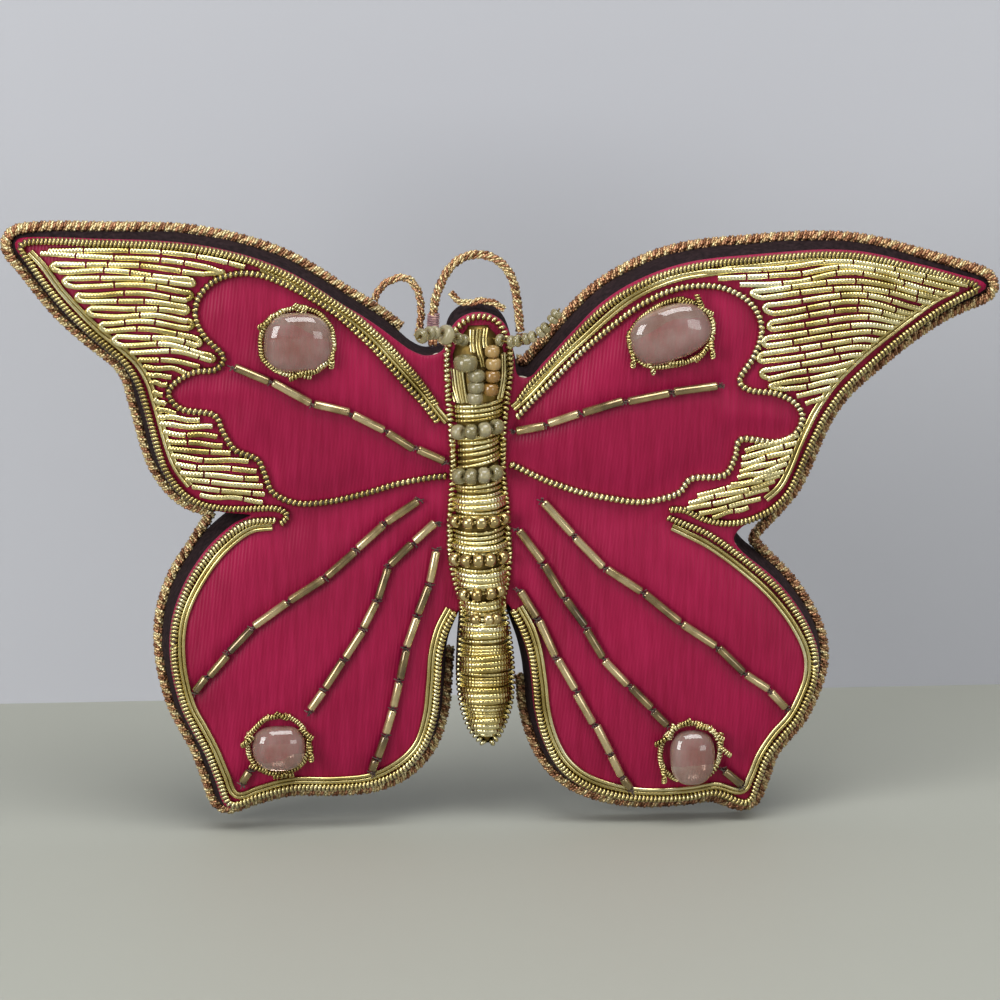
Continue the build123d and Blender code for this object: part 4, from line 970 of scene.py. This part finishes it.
stones = [
    ("left_upper", (298, 335), 4.5, 4.0, 0, [
        (283, 304), (305, 302), (322, 309), (333, 324), (334, 345), (321, 361), (300, 367),
        (278, 363), (262, 349), (261, 328), (269, 312), (283, 304)]),
    ("right_upper", (671, 332), 5.4, 3.7, 20, [
        (659, 306), (682, 299), (702, 305), (715, 321), (713, 341), (697, 357), (672, 364),
        (648, 364), (633, 352), (630, 334), (642, 318), (659, 306)]),
    ("left_lower", (277, 742), 3.5, 3.1, 0, [
        (264, 711), (285, 709), (301, 721), (308, 741), (300, 760), (282, 769), (261, 766),
        (247, 750), (246, 729), (264, 711)]),
    ("right_lower", (696, 760), 3.0, 3.8, 0, [
        (679, 783), (666, 771), (663, 753), (670, 736), (684, 726), (702, 725), (717, 733),
        (724, 749), (722, 767), (711, 781)])]
stone_rings, stone_sides, squareness, wider, higher = 17, 40, 2.6, 1.15, 1.14
stone_seat, stone_rise, frame_lift, loose_lengths = 0.9, 2.1, 0.55, 9
for name, centre, half_width, half_height, turn, corners in stones:
    cx, cz = front_place(*centre)
    base = float(satin_y(np.array([[cx, cz]]))[0])
    verts, lean = [], radians(turn)
    for rise in np.linspace(-0.35, 1.0, stone_rings) * pi / 2:
        for k in range(stone_sides):
            angle = 2 * pi * k / stone_sides
            c, s = cos(angle), sin(angle)
            square = (abs(c) ** squareness + abs(s) ** squareness) ** (-1 / squareness)
            lump = 1 + 0.02 * sin(3 * angle + cx) * cos(rise)
            reach = max(cos(rise), 0) ** 0.75 * square * lump
            u, v = half_width * reach * c * wider, half_height * reach * s * higher
            verts.append((cx + u * cos(lean) - v * sin(lean),
                          base - stone_seat - stone_rise * sin(rise),
                          cz + u * sin(lean) + v * cos(lean)))
    faces = grid_faces(stone_rings, stone_sides) + [tuple(range(stone_sides))]
    stone = mesh_piece(f"{name}_cabochon", verts, faces, stone_glass, weld=True)
    finish_piece(stone, "butterfly", "stone_glass", f"{name}_stone")

    lines = []
    seats = off_satin(front_places(corners), frame_lift)
    middle = np.array([cx, base - frame_lift, cz])
    seats[:, [0, 2]] += (middle[[0, 2]] - seats[:, [0, 2]]) * 0.04
    for start, stop in zip(seats, seats[1:]):
        out = (start + stop) / 2 - middle
        out /= np.linalg.norm(out)
        run = stop - start
        high = chance.uniform(0.1, 0.7)
        lines.append(smooth_line([
            start - run * 0.14, start + run * 0.25 + out * 0.25 + [0, -high, 0],
            start + run * 0.75 + out * 0.3 + [0, -high, 0], stop + run * 0.14], 0.12))
    for loose in range(loose_lengths):
        start = seats[int(chance.integers(0, len(seats) - 1))]
        out = (start - middle) / np.linalg.norm(start - middle)
        across = np.cross(out, [0, -1, 0])
        lean = (across * chance.uniform(1.1, 2.3) * chance.choice([-1, 1])
                + out * chance.uniform(-0.2, 0.9))
        begin = start + out * chance.uniform(-0.3, 0.35) + [0, -chance.uniform(0.5, 0.9), 0]
        lines.append(smooth_line([
            begin, begin + lean * 0.55 + [0, -0.25, 0], begin + lean + [0, 0.2, 0]], 0.12))
    frame_coils = wound_coils(f"{name}_bullion", lines, radius=0.52, wire=0.18, pitch=0.42)
    finish_piece(frame_coils, "butterfly", "gilt_purl", f"{name}_frame")


# ---------------------------------------------------------------------------
# Body
# Gilt cloth is drawn over a padded ridge, and crossed by rows of purl and of
# beads. The abdomen hangs free between the hindwings, on a velvet tongue.

body_edges = [
    (326, 466, 494, 0.50), (340, 452, 508, 0.80), (354, 447, 512, 0.95), (375, 448, 512, 0.97),
    (395, 449, 509, 0.97), (414, 451, 507, 0.97), (440, 454, 504, 0.92), (470, 455, 505, 0.95),
    (498, 453, 508, 1.0), (528, 451, 510, 1.0), (557, 452, 511, 1.0), (582, 457, 509, 0.93),
    (602, 464, 505, 0.72), (622, 464, 508, 0.80), (648, 462, 512, 0.88), (680, 461, 514, 0.88),
    (706, 464, 512, 0.80), (727, 471, 505, 0.54), (738, 478, 499, 0.30), (743, 484, 494, 0.14)]
body_seat_y, body_rise, tongue_row = back_y - 5.0, 3.6, 606
body_rows = np.array([edge[0] for edge in body_edges], float)
body_edge_margin, least_half_width = 0.6, 0.15


def body_section(row):
    """Middle, half width, rise, radius of the bow, and z of the body at a row."""
    left, right, share = (np.interp(row, body_rows, [edge[k] for edge in body_edges]) for k in (1, 2, 3))
    x_left, z = front_place(left, row)
    x_right = front_place(right, row)[0]
    half, rise = max((x_right - x_left) / 2 - body_edge_margin, least_half_width), body_rise * share
    return (x_left + x_right) / 2, half, rise, (half**2 + rise**2) / (2 * rise), z


def bow_point(section, turn, lift):
    """A point lifted off the bow of a section, at an angle from its crest."""
    middle, half, rise, bow, z = section
    reach = bow + lift
    return np.array([middle + reach * sin(turn), body_seat_y - rise + bow - reach * cos(turn), z])


def body_spot(row, share, lift):
    """A point over the body: share 0 is the crest, -1 and 1 are the edges."""
    section = body_section(row)
    middle, half, rise, bow, z = section
    widest = np.arcsin(min(1.0, half / bow))
    return bow_point(section, share * (widest if rise <= half else pi - widest), lift)


# Gilt cloth: flat gilt strip woven on silk, dull and a little crushed
gilt_cloth, tree, shader = new_material("gilt_tissue_cloth", Metallic=0.9, Roughness=0.42)
crushed = noise(tree, 420.0, 4.0)
tint(tree, shader, crushed, [(0.3, "#3E3018"), (0.75, "#8A7238")])
emboss(tree, shader, crushed, 0.7, 0.0003)

cover_rows, cover_columns, cover_reach = np.linspace(325, 744, 150), 25, 1.12
verts = np.array([body_spot(row, share, 0.0) for row in cover_rows
                  for share in np.linspace(-cover_reach, cover_reach, cover_columns)])
faces = grid_faces(len(cover_rows), cover_columns, closed=False)
faces += [tuple(range(cover_columns)), tuple(range(len(verts) - cover_columns, len(verts)))]
cover = mesh_piece("body_cloth", verts, faces, gilt_cloth)
finish_piece(cover, "butterfly", "gilt_cloth", "body_cover")
repaint("body_padding", felt)
repaint("abdomen_core", felt)

tongue_pixels = [
    (463, 600), (463, 622), (461, 648), (460, 680), (463, 706), (470, 728), (478, 741), (489, 747),
    (499, 741), (506, 728), (513, 706), (515, 680), (513, 648), (509, 622), (506, 600)]
tongue_edge = flat_line(tongue_pixels)
tongue_rings = [in_space(tongue_edge, y) for y in np.linspace(body_seat_y + 0.05, back_y, 6)]
faces = grid_faces(6, len(tongue_edge), closed=False)
back_points, back_faces = filled_outline(tongue_edge[::-1], 1.5)
offset = 6 * len(tongue_edge)
faces += [tuple(offset + i for i in face) for face in back_faces]
verts = np.vstack(tongue_rings + [in_space(back_points, back_y)])
tongue = mesh_piece("abdomen_velvet_skin", verts, faces, velvet)
finish_piece(tongue, "butterfly", "velvet", "abdomen_velvet")


def body_line(row, fall, lift, reach=0.92, sag=0.0):
    """A thread over the body from edge to edge, falling towards the right."""
    return np.array([body_spot(row + fall * share + sag * (1 - share**2), share * reach, lift)
                     for share in np.linspace(-1, 1, 19)])


# Rows of purl: thick and thin ones, each as its row in the picture and its
# fall towards the right, and how far the rows sag in the middle
band_rows = {
    "collar_bands": ([], [
        (401, -3), (406, -3), (411, -3), (415.5, -4), (433, -4), (438, -4), (443.5, -5), (449, -5),
        (455, -6), (460, -6)], 0.0),
    "chest_bands": (
        [(496, -1), (502, -1)], [(481, -3), (485.5, -2), (491, -2), (508, 0)], 1.0),
    "waist_bands": (
        [(541.5, 0), (569, 0), (574, 0), (579.5, 0), (598, -1), (603, -1)],
        [(526, -2), (531, -2), (536, -1), (547, 0), (564, -1), (608.5, 0)], 3.0),
    "abdomen_bands": (
        [(628.5, 0), (634.5, 0), (657.5, -2), (663, -2), (668.5, -1), (690, 0), (695.5, 0),
         (701, 0), (722, 0), (727.5, 0), (733, 0)],
        [(624, 0), (640.5, 0), (653, 0), (674, 0), (685, 0), (706.5, 0), (717, 0), (738, 0)], -1.5)}
gap_rows = [646, 649.5, 678, 681.5, 710, 713.5, 618.5, 613.5, 591, 587, 519, 514]
for node, (thick_rows, thin_rows, sag) in band_rows.items():
    thick, thin = ([body_line(row, fall + chance.uniform(-0.8, 0.8), lift, reach, sag)
                    for row, fall in rows]
                   for rows, lift, reach in ((thick_rows, 0.45, 0.90), (thin_rows, 0.16, 0.92)))
    if node == "abdomen_bands":
        thin += [body_line(row, 0, 0.1, 0.92, -1.0) for row in gap_rows]
    bands = round_threads(f"{node}_thin", thin, 0.31 if thick else 0.33, 10, check_purl)
    finish_piece(bands, "butterfly", "gilt_purl", node)
    if thick:
        raised = round_threads(f"{node}_thick", thick, 0.52, 10, check_purl)
        finish_piece(raised, "butterfly", "gilt_purl")


def front_row(z):
    """The picture row of a height on the front of the wings."""
    return ring_row - (z * cos(view_tilt) + rim_y * sin(view_tilt)) / pixel


body_coils = {
    "left_body_coil": [
        (448, 352), (448, 375), (449, 395), (451, 414), (453, 440), (454, 470), (452, 498),
        (451, 528), (452, 557), (457, 582), (463, 602), (464, 622), (462, 648), (461, 680),
        (464, 706), (471, 728), (479, 740), (485, 746)],
    "right_body_coil": [
        (512, 352), (512, 375), (509, 395), (507, 414), (505, 440), (505, 470), (508, 498),
        (510, 528), (511, 557), (509, 582), (505, 602), (508, 622), (512, 648), (514, 680),
        (512, 706), (505, 728), (499, 740), (494, 746)],
    "head_coil": [
        (449, 347), (454, 334), (463, 323), (474, 317), (487, 317), (499, 322), (507, 334),
        (511, 347)]}
body_coil_lift = 0.45
for node, pixels in body_coils.items():
    flat = flat_line(pixels, 0.3)
    over_wing = np.minimum(satin_y(flat), body_seat_y)
    y = np.where(front_row(flat[:, 1]) > tongue_row, body_seat_y, over_wing) - body_coil_lift
    body_coil = wound_coils(
        f"{node}_wound", [in_space(flat, y)], radius=0.62, wire=0.28, pitch=0.78)
    finish_piece(body_coil, "butterfly", "gilt_purl", node)


# ---------------------------------------------------------------------------
# Beads of the body and head
# Seed beads of clear, amber and gilded glass are sewn across the body in rows
# and down the face in two columns.

def seed_glass(name, dark, light, **surface):
    """Glass of seed beads, which differ in tone from bead to bead."""
    made, tree, shader = new_material(name, **surface)
    tint(tree, shader, carried(tree, "tone"), [(0.0, dark), (1.0, light)])
    return made


clear_glass = seed_glass(
    "clear_seed_glass", "#A39868", "#CCC29A", Roughness=0.2, Transmission_Weight=0.6, IOR=1.5,
    Coat_Weight=0.5)
amber_glass = seed_glass(
    "amber_seed_glass", "#A87830", "#D2B070", Roughness=0.14, Transmission_Weight=0.5, IOR=1.5,
    Coat_Weight=0.5)
gilt_glass = seed_glass(
    "gilded_seed_glass", "#9A8048", "#D9C690", Metallic=0.9, Roughness=0.2, Coat_Weight=0.4)
seed_form = turned_bead("seed_form", [
    (0.26, -0.38), (0.34, -0.46), (0.62, -0.50), (0.86, -0.40), (0.98, -0.2), (1.0, 0.0),
    (0.98, 0.2), (0.86, 0.40), (0.62, 0.50), (0.34, 0.46), (0.26, 0.38)], 18)


def bead_piece(name, rows, material, slot, node, upright=False):
    """Beads over the body: row, columns, fall to the right, radius and length."""
    spots, alongs, sizes = [], [], []
    for row, columns, fall, radius, length in rows:
        section = body_section(row)
        middle, half, rise, bow, z = section
        for column in columns:
            beside = (column - body_column) * pixel - middle
            turn = np.arcsin(np.clip(beside / (bow + radius), -0.98, 0.98))
            spot = bow_point(section, turn, radius * 0.85)
            spot[2] = front_place(column, row + fall * beside / half)[1]
            spots.append(spot)
            alongs.append([0, 0, 1] if upright else [cos(turn), sin(turn), chance.uniform(-0.08, 0.08)])
            sizes.append((radius, radius, length))
    made = string_beads(name, spots, alongs, sizes, seed_form, material)
    finish_piece(made, "butterfly", slot, node)


bead_piece("thorax_clear_beads", [
    (425, [458, 471, 485, 498], -3, 1.2, 1.75), (470, [459, 471, 484, 497], -2, 1.25, 1.7)],
    clear_glass, "clear_glass", "thorax_beads")
bead_piece("gilded_beads", [
    (517, [455, 468, 481, 494, 506], -1, 1.0, 1.6), (555, [455, 466, 478, 490, 504], -1, 1.05, 1.6),
    (590, [464, 477, 491, 501], -2, 1.0, 1.5), (616, [476, 489, 497], 0, 0.9, 1.4)],
    gilt_glass, "gilt_glass", "gilt_beads")
bead_piece("face_clear_beads", [
    (370, [476], 0, 1.35, 1.75), (381, [476], 0, 1.3, 1.75), (392, [475], 0, 1.25, 1.75),
    (357, [465], 0, 1.85, 2.3)], clear_glass, "clear_glass", "head_beads", upright=True)
bead_piece("face_amber_beads", [
    (347, [493], 0, 1.15, 1.7), (359, [494], 0, 1.2, 1.8), (371, [493], 0, 1.2, 1.8),
    (384, [491], 0, 1.2, 1.9)], amber_glass, "amber_glass", "amber_beads", upright=True)

face_threads = [
    [(474, 328), (473, 338), (474, 348)], [(480, 327), (479, 340), (481, 352), (483, 362)],
    [(453, 366), (455, 384), (459, 399)], [(458, 366), (460, 384), (463, 399)],
    [(463, 368), (465, 384), (467, 398)], [(503, 352), (503, 374), (499, 396)],
    [(508, 354), (508, 374), (503, 396)], [(486, 327), (485, 336), (486, 344)]]
lines = []
for pixels in face_threads:
    for beside in (-0.2, 0.2):
        thread = []
        for x, z in flat_line(pixels, 0.3):
            section = body_section(front_row(z))
            turn = np.arcsin(np.clip((x + beside - section[0]) / section[3], -1, 1))
            thread.append(bow_point(section, turn, 0.3))
        lines.append(np.array(thread))
face = round_threads("face_threads", lines, 0.24, 7, gilt_purl)
finish_piece(face, "butterfly", "gilt_purl", "head_threads")


# ---------------------------------------------------------------------------
# Antennae
# Seed beads strung on soft wire, bent outwards from the top of the head.

# Each antenna: the depth of its foot, its turns with how far they reach
# forwards, and its beads between them as a number and a size
antenna_reach, small_length, big_length, big_radius = 7.0, 1.02, 1.75, 1.6
antennae = {
    "left": (-3.01, [
        (469, 341, 0), (454, 337, 0.22), (437, 332, 0.45), (425, 333, 0.68), (415, 338, 0.95)],
        [(2, 1.0), (1, 1.7), (2, 1.15), (1, 1.25)]),
    "right": (-2.33, [
        (494, 338, 0), (508, 342, 0.22), (522, 341, 0.38), (537, 336, 0.50), (549, 326, 0.58),
        (559, 310, 0.60)], [(1, 1.0), (2, 1.0), (2, 1.0), (2, 1.0), (2, 1.0)])}
dull_wire = grained(
    "soft_brass_wire", 400.0, 2.0, "#6F5C30", "#A08848", Metallic=1.0, Roughness=0.4)
for side, (foot_y, turns, runs) in antennae.items():
    points = np.array([picture_point(column, row, foot_y - antenna_reach * share)
                       for column, row, share in turns])
    spots, alongs, sizes = [], [], []
    for start, stop, (count, share) in zip(points, points[1:], runs):
        direction = (stop - start) / np.linalg.norm(stop - start)
        radius, length = (big_radius, big_length) if share > 1.5 else (0.95 * share, small_length)
        for index in range(count):
            spots.append((start + stop) / 2 + direction * (index - (count - 1) / 2) * (length + 0.03))
            alongs.append(direction)
            sizes.append((radius, radius, length))
    strung = string_beads(f"{side}_antenna_seeds", spots, alongs, sizes, seed_form, clear_glass)
    finish_piece(strung, f"{side}_antenna", "clear_glass", f"{side}_antenna_beads")
    wire_line = round_threads(f"{side}_antenna_core", [smooth_line(points, 0.3)], 0.14, 6, dull_wire)
    finish_piece(wire_line, f"{side}_antenna", "antenna_wire", f"{side}_antenna_wire")
bpy.data.objects.remove(seed_form)


# ---------------------------------------------------------------------------
# Loose ends of the cord
# The edge cord leaves the left wing in a slack arch, and a cut end of the
# ring's cord lies over the head.

loose_ends = {
    "slack_cord": ([
        (377, 297, 0.44), (385, 284, 0.42), (397, 277, 0.38), (409, 276, 0.32), (418, 284, 0.28),
        (423, 297, 0.28), (424, 316, 0.32), (421, 334, 0.4)], 0.7),
    "head_cord": ([
        (454, 291, 0.1), (460, 299, 0.1), (471, 302, 0.1), (484, 300, 0.1), (498, 303, 0.1),
        (507, 309, 0.1)], 0.6)}
for node, (turns, radius) in loose_ends.items():
    line = smooth_line([picture_point(column, row, back_y * share) for column, row, share in turns], 0.2)
    threads = cord_threads(
        line, strands=3, lay=radius * 0.55, pitch=6.0, threads=2, thread_lay=0.14, thread_pitch=1.5)
    loose = round_threads(f"{node}_strands", threads, 0.17, 7, gold_cord)
    finish_piece(loose, "butterfly", "gold_cord", node)


# ---------------------------------------------------------------------------
# Room
# A pale grey wall behind the ornament and a shelf under it, lit by a broad
# soft light from above, a window to the left and a low fill to the right. The
# wall is clear from behind, so that it doesn't hide the back.

plain_wall, tree, shader = new_material("matt_wall_paint", Roughness=0.9, Specular_IOR_Level=0.2)
shader.inputs["Base Color"].default_value = linear("#B4B5BA")
facing = add_node(tree, "ShaderNodeNewGeometry")
clear = add_node(tree, "ShaderNodeBsdfTransparent")
one_sided = add_node(tree, "ShaderNodeMixShader", {
    0: facing.outputs["Backfacing"], 1: shader.outputs["BSDF"], 2: clear.outputs["BSDF"]})
tree.links.new(one_sided.outputs["Shader"], tree.nodes["Material Output"].inputs["Surface"])
plain_shelf, tree, shader = new_material("satin_shelf_paint", Roughness=0.6, Specular_IOR_Level=0.3)
shader.inputs["Base Color"].default_value = linear("#9C9D93")
shelf_z, wall_y, room_size = -0.0885, 0.080, 3
for name, material, far_y, far_z in (
        ("room_wall", plain_wall, wall_y, room_size), ("room_shelf", plain_shelf, -room_size, shelf_z)):
    mesh = bpy.data.meshes.new(name)
    mesh.from_pydata([(-room_size, wall_y, shelf_z), (room_size, wall_y, shelf_z),
                      (room_size, far_y, far_z), (-room_size, far_y, far_z)], [], [(0, 1, 2, 3)])
    mesh.materials.append(material)
    new_object(name, mesh)

ornament_middle = Vector((0, 0, -0.04))
for name, spot, size, power in (
        ("ceiling_light", (0.1, -0.35, 0.75), (0.7, 0.5), 7.0),
        ("window_light", (-0.75, -0.7, 0.25), (0.45, 0.6), 7.0),
        ("low_fill", (0.6, -0.9, -0.05), (0.5, 0.5), 2.2)):
    lamp = bpy.data.lights.new(name, "AREA")
    lamp.shape, lamp.size, lamp.size_y, lamp.energy = "RECTANGLE", size[0], size[1], power
    made = new_object(name, lamp)
    made.location = spot
    made.rotation_euler = (Vector(spot) - ornament_middle).to_track_quat("Z", "Y").to_euler()
world = bpy.data.worlds.new("room")
bpy.context.scene.world = world
world.use_nodes = True
world.node_tree.nodes["Background"].inputs["Color"].default_value = linear("#C9CCD2")
world.node_tree.nodes["Background"].inputs["Strength"].default_value = 0.55
bpy.context.scene.view_settings.view_transform = "Standard"
